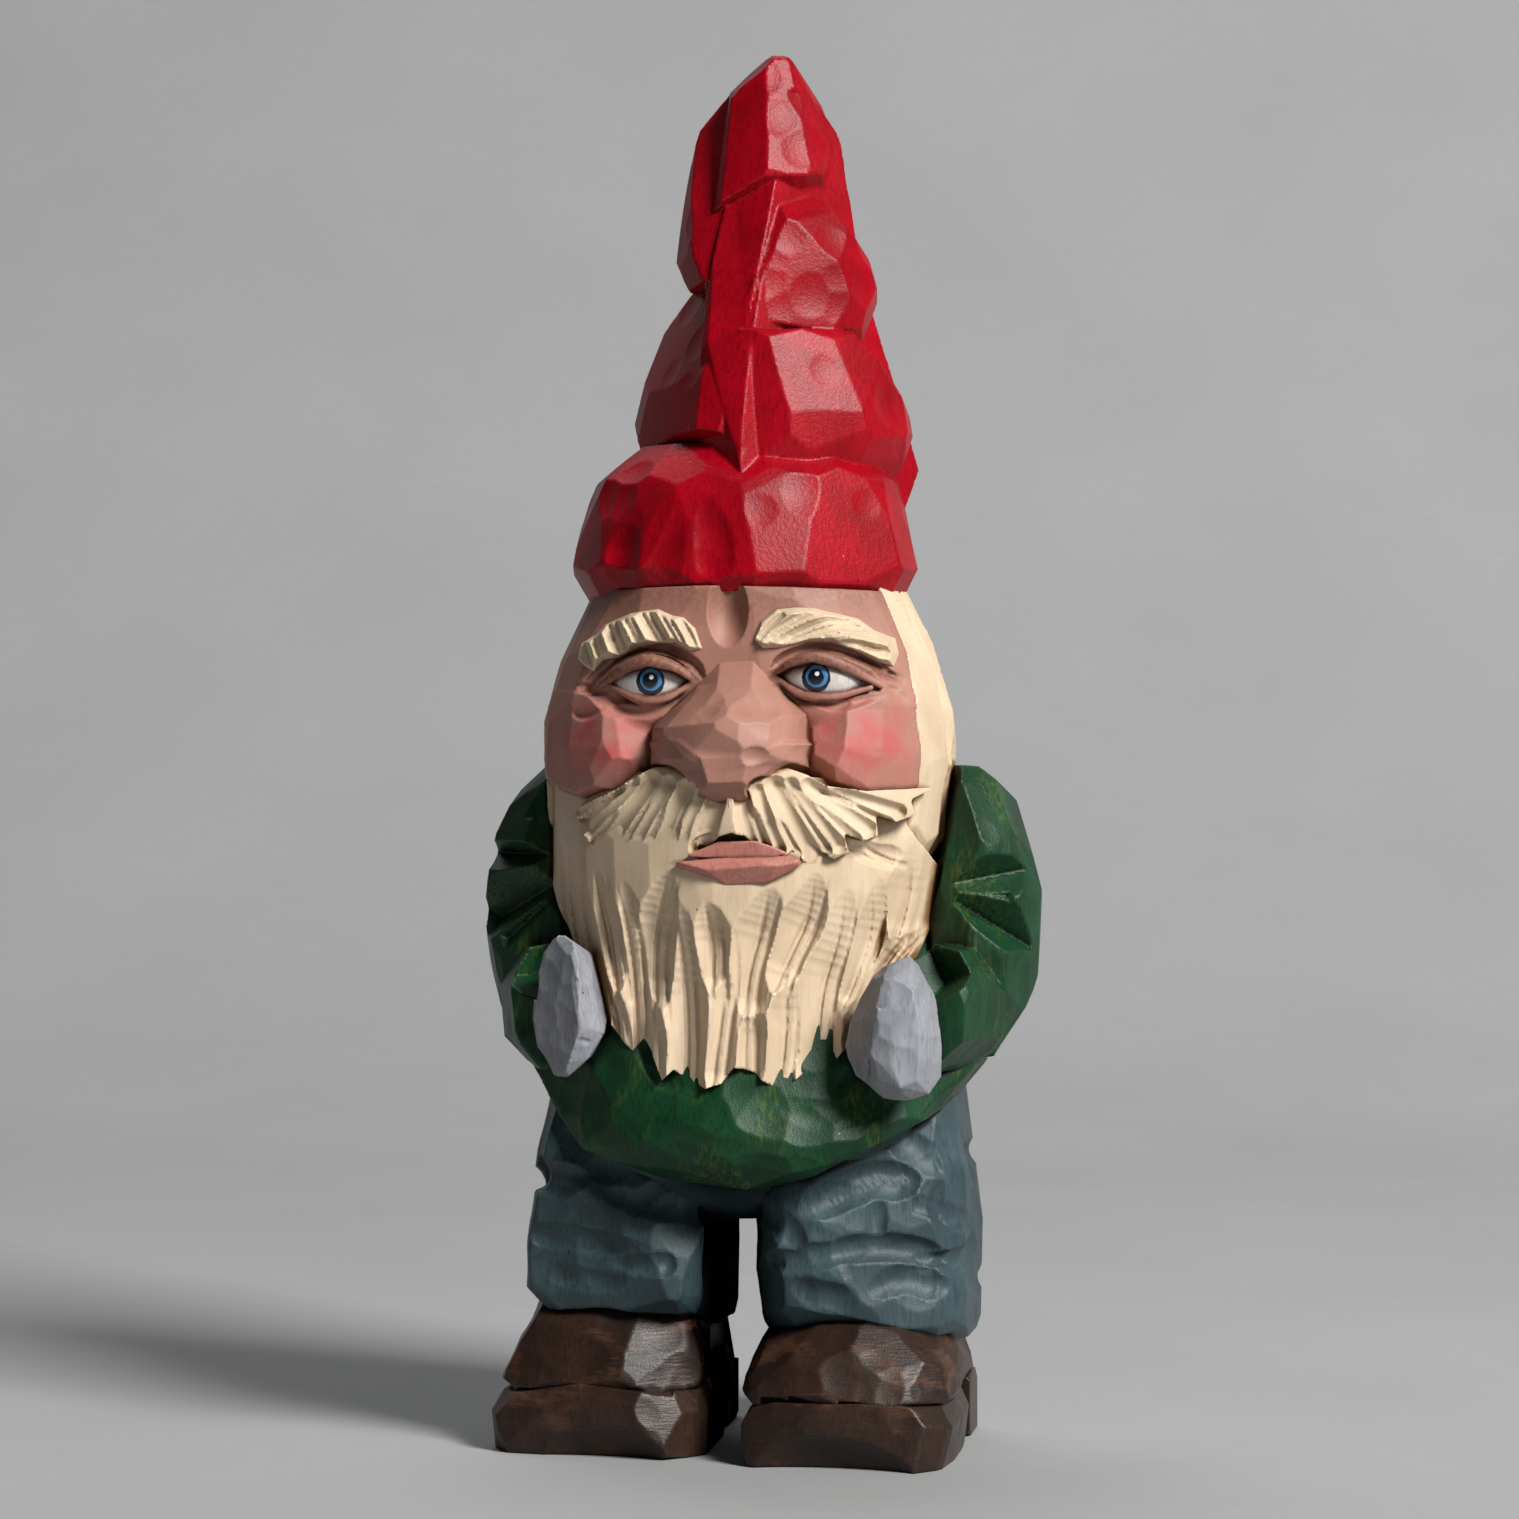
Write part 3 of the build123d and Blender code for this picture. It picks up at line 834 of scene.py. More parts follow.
# Every fold of the hat has the same front: a plain band that leans back, its right edge the ridge.
BAND = [(1.9, -11.8, 20.0, -10, 12.0), (0.2, -7.1, 43.6, -8, 12.5)]
BAND_LEFT = [
    (-4.0, -10.7, 22.0, -47, 12), (-4.1, -6.6, 42.0, -45, 10), (-4.8, -9.6, 25.0, -82, 4),
    (-4.8, -5.8, 42.0, -82, 4),
]
BAND_RIGHT = [
    (1.9, -11.6, 20.6, 29, 12), (0.2, -7.1, 43.6, 31, 15), (2.3, -11.4, 22.0, 48, 8),
    (0.7, -6.9, 43.6, 48, 8),
]

# The knife's facets of each fold: a point on it, which way round it faces, and how far up.
FOLDS = {
    "band": BAND_LEFT,
    "left_low": [
        (-4.0, -10.7, 22.0, -47, 12), (-9.9, -5.2, 22.0, -64, 14), (-12.6, 0.4, 24.0, -93, 15),
        (-11.0, 0.4, 30.3, -84, 42), (-6.4, -7.2, 31.4, -42, 52), (-4.0, -8.7, 32.6, -20, 66),
        (-13.9, 0.4, 18.6, -98, -32), (-6.0, -9.8, 17.0, -30, -60), (-9.6, -6.6, 19.2, -52, 26),
    ],
    "left_high": [
        (-4.1, -6.6, 42.0, -45, 10), (-6.1, -4.4, 41.4, -63, 9), (-8.6, 0.2, 39.0, -92, 7),
        (-7.7, 0.2, 48.0, -86, 27), (-5.2, -3.6, 48.6, -52, 22), (-2.0, -5.3, 52.6, -62, 43),
        (-4.9, 0.2, 52.4, -88, 39), (-8.7, 0.2, 35.2, -88, -28), (-5.4, -5.6, 33.2, -34, -68),
        (-7.2, -3.8, 36.8, -58, -6),
    ],
    "right_top": [
        (0.2, -7.2, 43.6, 31, 15), (3.4, -4.6, 48.4, 46, 13), (5.4, -2.2, 49.0, 62, 16),
        (7.3, 0.6, 46.0, 86, -6), (6.5, 0.6, 51.0, 78, 21), (4.6, 0.6, 56.6, 74, 34),
        (1.6, -2.2, 57.3, 20, 72), (4.4, -4.2, 44.4, 28, -46), (5.6, -2.4, 44.0, 60, -40),
        (-2.0, -5.1, 52.6, -62, 43), (-5.0, 0.2, 52.4, -88, 39), (3.4, -3.0, 55.0, 52, 30),
    ],
    "right_middle": [
        (0.6, -7.9, 38.0, 26, 8), (7.2, -5.6, 35.6, 42, 22), (9.0, -4.4, 34.0, 55, 12),
        (12.2, 0.6, 34.0, 84, 14), (10.3, 0.6, 39.9, 72, 42), (6.0, -5.6, 38.6, 36, 40),
        (3.0, -7.4, 39.0, 14, 47), (12.0, 0.6, 31.0, 86, -12), (9.0, -4.7, 31.6, 46, -6),
        (6.2, -7.2, 29.6, 22, -38), (9.4, -4.0, 28.4, 52, -34), (2.0, -8.0, 41.2, 2, 62),
    ],
    "right_low": [
        (1.9, -11.6, 22.4, 28, 12), (6.6, -9.7, 21.6, 30, 3), (4.0, -10.0, 26.4, 22, 40),
        (8.4, -7.2, 26.4, 40, 38), (10.6, -6.0, 23.6, 47, 18), (12.8, -4.6, 21.0, 62, 8),
        (14.4, 0.6, 24.4, 82, 33), (15.5, 0.6, 20.0, 88, 11), (15.6, 0.6, 16.0, 86, -12),
        (5.2, -11.2, 17.8, 16, -17), (9.8, -8.4, 17.2, 40, -20), (13.4, -4.0, 16.0, 62, -26),
        (3.0, -11.8, 14.4, 12, -36),
    ],
}
FOLD_ENDS = {
    "band": (3.0, 44.0),
    "left_low": (16.0, 34.0),
    "left_high": (32.6, 57.6),
    "right_top": (41.0, 57.9),
    "right_middle": (26.8, 42.6),
    "right_low": (11.6, 28.0),
}


def fold(name):
    """One fold of the hat: its own facets, plain knife work behind, and the band's flats across the front."""
    rng = np.random.default_rng(sum(name.encode()))
    own, front = Cuts(), Cuts()
    flats = BAND + (BAND_LEFT if "right" in name else BAND_RIGHT)
    for mass, table in ((own, FOLDS[name]), (front, flats)):
        for x, y, z, azimuth, elevation in table:
            mass.cut(HAT + (x, y, z), facing(azimuth, elevation), 0.005, rng.normal(size=3))
    low_end, high_end = FOLD_ENDS[name]
    own.cut(HAT + (0, 0, low_end), (0, 0, -1))
    own.cut(HAT + (0, 0, high_end), (0, 0, 1))
    middle = (low_end + high_end) / 2
    half = 16.4 - 0.2 * middle
    for i in range(6):
        azimuth = 118 + 25 * i + rng.uniform(-6, 6)
        for rise, elevation in ((0.2, -24), (0.5, 12), (0.85, 40)):
            way = facing(azimuth, elevation + rng.uniform(-6, 6))
            level = low_end + (high_end - low_end) * rise
            shift = half * (1.02 - 0.12 * abs(rise - 0.5)) - 0.2 * (level - middle)
            point = HAT + (1.3 * way[0] * shift, way[1] * shift, level)
            own.cut(point, way, 0.005, rng.normal(size=3))
    if name != "band":
        own = whittled(own, HAT + (1.0, -4.0, middle), (8, 6, (high_end - low_end) / 3), 36, len(name), 0.18)
    return both(own, front)


def hat():
    brim = lobe(
        HAT,
        [
            (-0.2, -1.5, 0.0, 16.8, 14.8),
            (2.9, -1.5, 0.0, 18.6, 16.7),
            (7.6, -1.5, 0.0, 17.7, 15.3),
            (12.2, -1.3, 0.0, 16.2, 13.4),
            (15.6, -1.4, 0.2, 12.4, 10.4),
        ],
        6.2, 27, hollow=0.008, wander=0.16, tilt=0.04,
    )
    brim.cut(HAT + (1.4, -15.2, 6.0), facing(-4, 11), 0.004)
    brim.cut(HAT + (1.4, -15.2, 6.0), facing(20, 15), 0.004)
    brim.cut(HAT + (7.0, -13.3, 6.0), facing(42, 10), 0.004)
    base = whittled(brim, HAT + (-1.5, -4.0, 7.0), (10, 8, 4), 56, 31, 0.2)
    folds = union(base, *[fold(name) for name in FOLDS])
    nick = notch(HAT + (-12.0, -6.4, 17.2), HAT + (-14.5, 1.0, 17.6), (-1.0, -0.7, 0.0), 1.4, 1.0)
    flutes = strokes(
        [
            ([(-7.8, 2.4), (-7.6, 6.0), (-6.6, 10.4)], 0.45, 6.0, 0.05, 0.7),
            ([(-2.2, 2.8), (-2.6, 6.0), (-3.4, 9.6)], 0.5, 5.0, 0.05, 0.7),
            ([(-12.6, 2.4), (-12.2, 6.0), (-11.0, 9.4)], 0.35, 6.0, 0.05, 0.7),
            ([(-4.4, 15.6), (-2.6, 14.6), (0.4, 15.2)], 0.3, 4.0, 0.5, 0.5),
        ]
    )
    mass = minus(folds, nick)

    def field(p):
        q = p - HAT
        return mass(p) + np.where(q[:, 1] < -4, flutes(q[:, 0], q[:, 2]), 0)

    carve(["hat"], field, hat_paint(), "hat_red", MEDIUM)


# --- Head ---


def head_mass():
    return lobe(
        HEAD,
        [
            (-10.0, 0.0, 0.6, 17.8, 15.2),
            (-4.0, 0.0, -0.3, 21.4, 18.5),
            (3.5, 0.0, -0.5, 22.2, 19.0),
            (9.0, 0.0, -0.5, 21.8, 18.8),
            (15.0, 0.0, -0.6, 20.0, 17.7),
            (21.6, 0.0, -0.5, 16.6, 15.4),
        ],
        5.6, 61, hollow=0.001, tilt=0.03,
    )


def hair_line(p):
    """In front of the hair: the line slants back to the figure's right and above the eyes.

    It runs out under the jaw.
    """
    u, v = p[:, 0] - HEAD[0], p[:, 2] - HEAD[2]
    line = HAIR_LINE - 0.6 - 0.14 * u + 0.2 * np.clip(v - 8, 0, 14)
    line += 11.0 * np.clip((-2.5 - v) / 6, 0, 1) ** 2
    return (p[:, 1] - line) / 1.03


def forehead():
    return both(
        head_mass(),
        lobe(
            HEAD,
            [
                (1.6, 0.0, -0.2, 27.0, 15.4),
                (6.5, 0.0, -0.3, 27.0, 15.5),
                (12.0, 0.0, -0.4, 26.0, 15.5),
                (17.0, 0.0, -0.5, 23.0, 15.9),
                (21.6, 0.0, -0.5, 19.0, 15.4),
            ],
            6.4, 81, hollow=0.001, tilt=0.02,
        ),
    )


# Round the eyes, from HEAD: the lids as (x, y, z), all the rest as (x, z); of the cheeks only x.
UPPER_LIDS = {
    "right": [
        (-3.6, -15.3, 11.9), (-5.4, -16.0, 13.2), (-8.0, -16.3, 13.9), (-10.6, -15.6, 13.2),
        (-13.4, -13.9, 11.6),
    ],
    "left": [
        (4.8, -15.3, 12.6), (6.6, -16.0, 13.6), (9.2, -16.3, 14.3), (12.2, -15.4, 13.4), (15.8, -13.3, 11.4),
    ],
}
LOWER_LIDS = {
    "right": [(-3.8, -15.2, 11.6), (-6.2, -15.8, 10.2), (-9.0, -15.7, 10.0), (-12.2, -14.4, 11.4)],
    "left": [(5.2, -15.2, 12.2), (7.6, -15.8, 10.6), (10.8, -15.7, 10.2), (14.8, -14.0, 11.2)],
}
LID_FOLDS = {
    "right": [(-2.3, 12.0), (-3.6, 13.9), (-6.9, 15.4), (-10.9, 14.9), (-14.4, 12.4), (-15.8, 10.9)],
    "left": [(4.6, 13.0), (6.4, 14.5), (10.0, 15.4), (14.2, 14.1), (17.4, 12.0)],
}
EYE_SLITS = {
    "right": [
        (-3.8, 11.9), (-5.4, 12.9), (-8.0, 13.4), (-10.0, 12.9), (-11.8, 11.9), (-10.2, 10.8), (-8.4, 10.3),
        (-6.6, 10.5), (-5.0, 11.2),
    ],
    "left": [
        (5.2, 12.5), (6.8, 13.3), (9.1, 13.8), (11.6, 13.1), (14.4, 11.4), (12.6, 10.9), (10.6, 10.6),
        (8.2, 10.8), (6.5, 11.6),
    ],
}
EYES = {"right": (-7.9, 11.9), "left": (9.4, 12.2)}
CHEEKS = {"right": -12.4, "left": 12.8}


def lid(side, table, radii):
    points = smooth_line(np.array(table[side]) + HEAD, 14)
    swell = np.interp(np.linspace(0, 1, 14), np.linspace(0, 1, len(radii)), radii)
    return rod(points, swell)


def cheek(side):
    x = CHEEKS[side]
    rings = [
        (-0.4, x, -8.6, 4.0, 4.6),
        (0.8, x, -8.6, 6.8, 7.0),
        (4.0, x, -8.2, 8.6, 8.9),
        (7.6, x, -7.6, 8.6, 8.5),
        (11.0, x * 1.06, -6.8, 7.4, 6.6),
    ]
    mass = lobe(HEAD, rings, 5.0, 71 if side == "left" else 74, hollow=0.006, tilt=0.07)
    mass = whittled(mass, HEAD + (x, -12.0, 4.0), (5, 3, 4), 26, 76, 0.13, 12.0)
    skull = head_mass()
    return lambda p: np.maximum(mass(p), skull(p) - 0.5 * np.clip((HEAD[2] + 9.0 - p[:, 2]) / 4, 0, 1))


def face():
    skull = both(forehead(), lambda p: HEAD[2] + 1.6 - p[:, 2])
    sockets = [ball(HEAD + (x * 1.04, -19.6, z + 0.5), (6.8, 5.3, 4.4)) for x, z in EYES.values()]
    scoop = ball(HEAD + (0.2, -18.7, 19.2), (2.9, 4.3, 5.2))
    crows = Gouges()
    for line in (
        [(16.2, 11.3), (17.6, 10.3), (18.6, 9.0)], [(15.4, 12.6), (17.0, 12.3), (18.2, 11.5)],
        [(9.0, 9.6), (12.4, 9.4), (16.4, 10.6)], [(-12.6, 9.2), (-8.6, 8.6), (-5.4, 9.3)],
        [(-16.6, 11.8), (-14.6, 10.9), (-12.6, 11.0)], [(-16.8, 8.6), (-15.0, 8.4), (-12.8, 9.2)],
    ):
        crows.stroke(line, 0.4, 0.5, 0.3, 0.5)
    folds = Gouges()
    for line in LID_FOLDS.values():
        folds.stroke(line, 0.75, 0.28, 0.15, 0.25)
    bags = [ball(HEAD + (x * 0.98, -12.4, z - 3.4), (5.4, 3.3, 2.5)) for x, z in EYES.values()]
    skin = soft_union(0.6, minus(skull, *sockets, scoop), cheek("left"), cheek("right"), *bags)
    lids = []
    for side in EYES:
        upper = lid(side, UPPER_LIDS, (0.35, 0.75, 0.85, 0.7, 0.3))
        lower = lid(side, LOWER_LIDS, (0.25, 0.5, 0.5, 0.25))
        lids.append(union(upper, lower))
    whole = both(soft_union(0.35, skin, *lids), hair_line)

    def field(p):
        q = p - HEAD
        u, v = q[:, 0], q[:, 2]
        lines = (crows(u, v) + folds(u, v)) * np.clip((19.5 - np.abs(u + 0.6)) / 3.0, 0, 1)
        value = whole(p) + np.where(q[:, 1] < -8, lines, 0)
        slit = np.minimum.reduce([outline(u, v, EYE_SLITS[side]) for side in EYES])
        return np.maximum(value, np.minimum(-slit, q[:, 1] * -1 - 9.0))

    def blush(p):
        q = p - HEAD
        spots = []
        for x in CHEEKS.values():
            away = ((q[:, 0] - x * 1.06) / 5.4) ** 2 + ((q[:, 2] - 5.8) / 3.5) ** 2
            spots.append(np.exp(-away))
        return np.clip(sum(spots) * 1.25, 0, 1)

    def lid_paint_and_brim_shade(p):
        q = p - HEAD
        u, v = q[:, 0], q[:, 2]
        # Brown antiquing and painted shade under the hat brim: darker towards the top of the forehead.
        tint = 0.5 * np.clip((v - 17.0) / 3.4, 0, 1)
        for side in EYES:
            upper_edge = [c for c in EYE_SLITS[side] if c[1] > EYE_SLITS[side][0][1] - 0.6][::-1]
            shade = outline(u, v, LID_FOLDS[side] + upper_edge)
            slit = outline(u, v, EYE_SLITS[side])
            tint = np.maximum(tint, 0.9 * np.clip(0.6 - shade / 0.6, 0, 1))
            tint = np.maximum(tint, np.clip(1 - slit / 0.55, 0, 1))
        return tint

    carve(["face"], field, skin_paint(), "skin", FINE, blush=blush, lid=lid_paint_and_brim_shade)


# The knife's flats on the three masses of the nose: a point from HEAD, azimuth and elevation.
BRIDGE = [
    (1.6, -18.5, 11.4, 6, 31), (1.8, -21.2, 7.8, 4, 40), (1.4, -17.0, 14.6, 2, 20),
    (-0.7, -18.2, 11.4, -38, 27), (-2.6, -16.6, 11.2, -62, 24), (3.3, -18.2, 11.4, 36, 25),
    (4.8, -16.6, 11.2, 60, 22), (-4.0, -17.2, 8.4, -48, 30), (5.8, -17.2, 8.8, 46, 28),
    (1.4, -15.5, 16.4, 0, 44),
]
TIP = [
    (1.4, -22.4, 6.4, 6, 12), (1.0, -22.0, 4.4, -6, -14), (-1.6, -21.9, 5.4, -27, 8),
    (-4.4, -20.4, 5.0, -40, -2), (-6.7, -18.2, 5.2, -62, 6), (-7.8, -15.6, 5.4, -84, 4),
    (-3.4, -20.0, 7.8, -34, 46), (-6.0, -17.4, 7.8, -58, 44), (3.6, -21.8, 5.8, 26, 10),
    (6.2, -20.2, 5.2, 40, 0), (7.3, -18.2, 5.6, 54, 6), (8.2, -16.4, 5.4, 68, 2), (4.6, -20.0, 8.2, 32, 45),
    (7.0, -17.4, 8.6, 56, 42), (0.9, -21.4, 1.6, -6, -34), (0.5, -20.9, 0.0, -46, -62),
    (-5.6, -18.2, 3.0, -44, -44), (1.5, -20.9, 0.0, 46, -62), (6.8, -18.2, 3.0, 44, -44),
    (-6.8, -15.0, 2.6, -40, -70), (7.6, -15.0, 2.6, 40, -70), (1.0, -20.4, 9.4, 2, 58),
]


DROP = [
    (1.0, -21.9, 2.6, 2, -2), (-2.0, -21.3, 2.6, -40, -12), (3.8, -21.2, 2.6, 38, -12),
    (0.8, -21.4, 1.0, 4, -44), (-4.0, -19.4, 2.6, -64, -34), (5.4, -19.4, 2.6, 64, -34),
    (-1.0, -20.6, 0.3, -34, -60), (2.8, -20.6, 0.3, 34, -60), (1.0, -21.8, 4.0, 2, 50),
]


def untinted(p):
    return np.zeros(len(p))


def nose():
    masses = []
    for table, low_end, top in ((BRIDGE, 4.0, 17.6), (TIP, -0.6, 11.0), (DROP, -0.5, 5.4)):
        mass = Cuts().cut(HEAD + (0, -12.6, 0), (0, 1, 0))
        mass.cut(HEAD + (0, 0, top), (0, 0, 1)).cut(HEAD + (0, 0, low_end), (0, 0, -1))
        for i, (x, y, z, azimuth, elevation) in enumerate(table):
            mass.cut(HEAD + (x, y, z), facing(azimuth, elevation), 0.012, askew(i))
        masses.append(mass)
    hollows = [
        ball(HEAD + (4.9, -20.4, 0.5), (2.1, 3.0, 1.7)),
        ball(HEAD + (-3.7, -20.2, 0.3), (1.9, 3.0, 1.4)),
        ball(HEAD + (5.2, -24.6, 4.0), (3.4, 3.7, 2.2)),
    ]
    masses[1] = whittled(masses[1], HEAD + (1.0, -17.0, 5.0), (5, 3, 3), 26, 91, 0.1, 10.0)
    field = minus(soft_union(0.7, *masses), *hollows)
    carve(["nose"], field, skin_paint(), "skin", FINE, blush=untinted, lid=untinted)


def eye(side):
    x, z = EYES[side]
    middle = HEAD + (x, -11.3, z)
    ball_of_eye = both(ball(middle, (5.2, 4.8, 4.2)), lambda p: p[:, 1] - (middle[1] + 1.5))

    def field(p):
        q = p - HEAD
        return np.maximum(ball_of_eye(p), outline(q[:, 0], q[:, 2], EYE_SLITS[side]) - 0.5)

    carve([f"{side}_eye"], field, eye_paint(f"{side}_eye_paint", (middle[0], middle[2])), "eye_white", FINE)


# Stop cuts and strokes of the eyebrows, as (x, z) from HEAD.
BROW_EDGES = {
    "right": [
        (-2.4, 15.2), (-3.2, 17.4), (-4.4, 18.5), (-5.6, 18.7), (-7.2, 19.4), (-8.8, 19.2), (-10.4, 19.0),
        (-11.8, 18.5), (-13.4, 17.9), (-14.6, 16.8), (-16.4, 16.0), (-16.6, 14.4), (-15.6, 13.6),
        (-14.4, 13.0), (-13.2, 14.2), (-11.4, 14.4), (-9.4, 15.4), (-7.4, 15.8), (-5.4, 15.9), (-3.8, 15.0),
    ],
    "left": [
        (2.9, 16.2), (3.6, 18.0), (5.2, 19.3), (7.2, 19.5), (9.0, 19.4), (11.2, 18.9), (13.2, 18.4),
        (14.8, 17.2), (16.8, 16.4), (17.2, 14.8), (16.8, 13.4), (15.2, 13.9), (13.4, 14.9), (10.8, 15.9),
        (8.2, 15.9), (5.8, 15.3), (3.8, 15.2),
    ],
}
BROW_CUTS = {
    "right": [
        [(-5.0, 19.6), (-3.6, 17.2), (-2.4, 14.8)],
        [(-7.4, 20.2), (-5.8, 17.8), (-4.0, 14.8)],
        [(-9.4, 20.2), (-7.8, 17.8), (-6.2, 15.2)],
        [(-11.4, 19.8), (-9.8, 17.4), (-8.4, 14.8)],
        [(-13.2, 19.2), (-11.8, 16.8), (-10.6, 13.8)],
        [(-15.2, 18.2), (-13.8, 15.8), (-12.6, 13.2)],
        [(-17.2, 17.0), (-15.8, 15.0), (-14.6, 12.4)],
    ],
    "left": [
        [(2.6, 15.4), (4.2, 17.6), (6.2, 19.8)],
        [(3.4, 15.0), (5.4, 16.9), (9.2, 18.9), (12.6, 18.9)],
        [(4.6, 15.0), (7.4, 16.5), (11.4, 17.8), (15.2, 17.3)],
        [(6.4, 15.0), (9.8, 16.2), (13.6, 16.6), (17.4, 15.7)],
        [(10.2, 15.2), (13.4, 15.4), (17.4, 14.3)],
    ],
}


def brow(side):
    base = forehead()
    cuts = Gouges()
    for i, line in enumerate(BROW_CUTS[side]):
        uneven = (1.0, 0.7, 1.1, 0.6)[i % 4] * (1.0 if side == "right" else 0.9)
        cuts.stroke(line, 1.05 * uneven, 0.62 * uneven, 0.3, 0.2)
    fine = Gouges()
    for one, two in itertools.pairwise(BROW_CUTS[side]):
        count = min(len(one), len(two))
        for share in (0.3, 0.55, 0.78):
            line = np.array(one[:count]) * share + np.array(two[:count]) * (1 - share)
            fine.stroke(line, 0.4 - 0.3 * abs(share - 0.5), 0.2, 0.3, 0.3)
    edge = BROW_EDGES[side]

    def field(p):
        q = p - HEAD
        u, v = q[:, 0], q[:, 2]
        stand = base(p)
        top = stand - 1.5 + cuts(u, v) + fine(u, v)
        rim = outline(u, v, edge) + 0.55 * np.maximum(stand, 0)
        return np.maximum.reduce([top, rim, -1.2 - stand])

    carve([f"{side}_eyebrow"], field, hair_paint(), "hair_cream", FINE)


def lips():
    lower = shaved(
        HEAD,
        [
            (-4.9, -19.9, -6.9), (8.9, -19.1, -6.5), (-2.4, -19.4, -6.2), (0.3, -20.0, -6.5),
            (4.5, -20.0, -6.4), (7.0, -19.0, -6.0), (-1.8, -20.5, -7.4), (4.8, -20.5, -7.3),
            (-3.0, -19.0, -8.2), (0.5, -19.6, -9.0), (4.8, -19.4, -8.8), (6.9, -18.6, -7.8),
            (-3.0, -15.0, -7.0), (6.5, -15.0, -7.0), (2.0, -15.0, -8.6),
        ],
        10, 0.35, 95,
    )
    upper = shaved(
        HEAD,
        [
            (-3.6, -19.6, -6.1), (-0.2, -19.6, -4.6), (3.6, -19.6, -4.5), (7.4, -18.9, -5.7),
            (-1.2, -19.2, -6.5), (5.0, -19.2, -6.5), (-1.0, -15.0, -5.2), (5.0, -15.0, -5.2),
            (2.0, -15.0, -6.5),
        ],
        8, 0.3, 96,
    )
    carve(["lower_lip"], lower, lip_paint(), "lip_rose", FINE)
    carve(["upper_lip"], upper, lip_paint(), "lip_rose", FINE)


def fan(lines, radius, depth):
    """Hollow strands side by side, uneven in width, with shorter ones let in between them near the ends."""
    cuts = Gouges()
    for i, line in enumerate(lines):
        deep, wide = ((1.0, 1.0), (0.75, 0.8), (1.1, 1.2), (0.85, 0.9))[i % 4]
        cuts.stroke(line, depth * deep, radius * wide, 0.12, 0.02)
    for i, (one, two) in enumerate(itertools.pairwise(lines)):
        root, middle, end = (np.array(one) + np.array(two)) / 2
        start = root + (middle - root) * (0.5, 0.9, 0.3)[i % 3]
        cuts.stroke([start, (start + end) / 2, end], depth * 0.75, radius * 0.85, 0.35, 0.02)
    return cuts


def split(lines, depth):
    """Narrow V lines down the side of some strands."""
    cuts = Gouges()
    for i, (one, two) in enumerate(itertools.pairwise(lines)):
        share = (0.62, 0.5, 0.4)[i % 3]
        line = np.array(one) * share + np.array(two) * (1 - share)
        cuts.stroke(line, depth * (1.0, 0.5, 0.8, 0.4)[i % 4], 0.2, 0.25, 0.02)
    return cuts


# Strokes and stop cuts of the moustache, as (x, z) from HEAD.
MOUSTACHE_CUTS = {
    "right": [
        [(-10.6, 0.9), (-13.6, -0.6), (-16.4, -2.0)],
        [(-8.6, 1.7), (-11.8, -1.2), (-15.0, -3.9)],
        [(-6.8, 2.1), (-9.9, -1.8), (-12.9, -5.6)],
        [(-5.0, 2.0), (-7.7, -2.4), (-10.4, -6.8)],
        [(-3.2, 1.4), (-5.2, -2.6), (-7.4, -7.2)],
        [(-1.7, 0.6), (-3.2, -2.6), (-4.6, -6.6)],
        [(-0.3, 0.0), (-1.1, -2.4), (-1.8, -5.2)],
    ],
    "left": [
        [(2.2, 0.2), (2.7, -2.2), (3.4, -5.0)],
        [(3.8, 1.1), (4.9, -2.2), (6.4, -5.8)],
        [(5.2, 1.6), (7.4, -2.2), (9.6, -6.2)],
        [(6.6, 1.7), (9.6, -1.8), (12.4, -5.4)],
        [(8.4, 1.3), (12.0, -1.1), (15.4, -3.6)],
        [(10.6, 0.5), (14.6, -0.6), (18.4, -1.8)],
    ],
}
MOUSTACHE_EDGES = {
    "right": [
        (1.3, -0.4), (0.0, 0.4), (-2.1, 2.0), (-5.3, 3.2), (-7.4, 3.0), (-10.4, 1.4), (-13.6, 0.2),
        (-16.2, -0.7), (-17.2, -1.8), (-16.6, -3.0), (-14.8, -2.7), (-15.6, -4.2), (-14.6, -5.2),
        (-12.6, -4.5), (-13.2, -6.0), (-12.0, -6.8), (-10.0, -5.8), (-10.2, -7.2), (-9.0, -7.7), (-7.4, -6.7),
        (-6.4, -7.7), (-5.2, -7.1), (-4.6, -6.1), (-3.4, -6.5), (-2.4, -4.9), (-1.2, -5.1), (-0.2, -3.9),
        (1.3, -3.4),
    ],
    "left": [
        (1.3, -0.4), (2.2, 1.0), (4.2, 2.3), (6.8, 2.9), (8.8, 2.2), (10.8, 1.1), (14.7, 0.7), (18.4, 1.2),
        (21.8, 2.0), (22.0, 0.4), (19.4, -0.6), (20.0, -2.2), (17.6, -2.9), (15.8, -2.3), (16.0, -4.1),
        (14.4, -4.7), (12.6, -4.0), (13.0, -5.8), (11.4, -6.5), (9.8, -5.4), (9.6, -6.6), (8.6, -6.7),
        (7.2, -5.5), (6.4, -6.2), (5.2, -5.4), (4.6, -5.0), (3.4, -5.2), (2.6, -3.9), (1.3, -3.4),
    ],
}


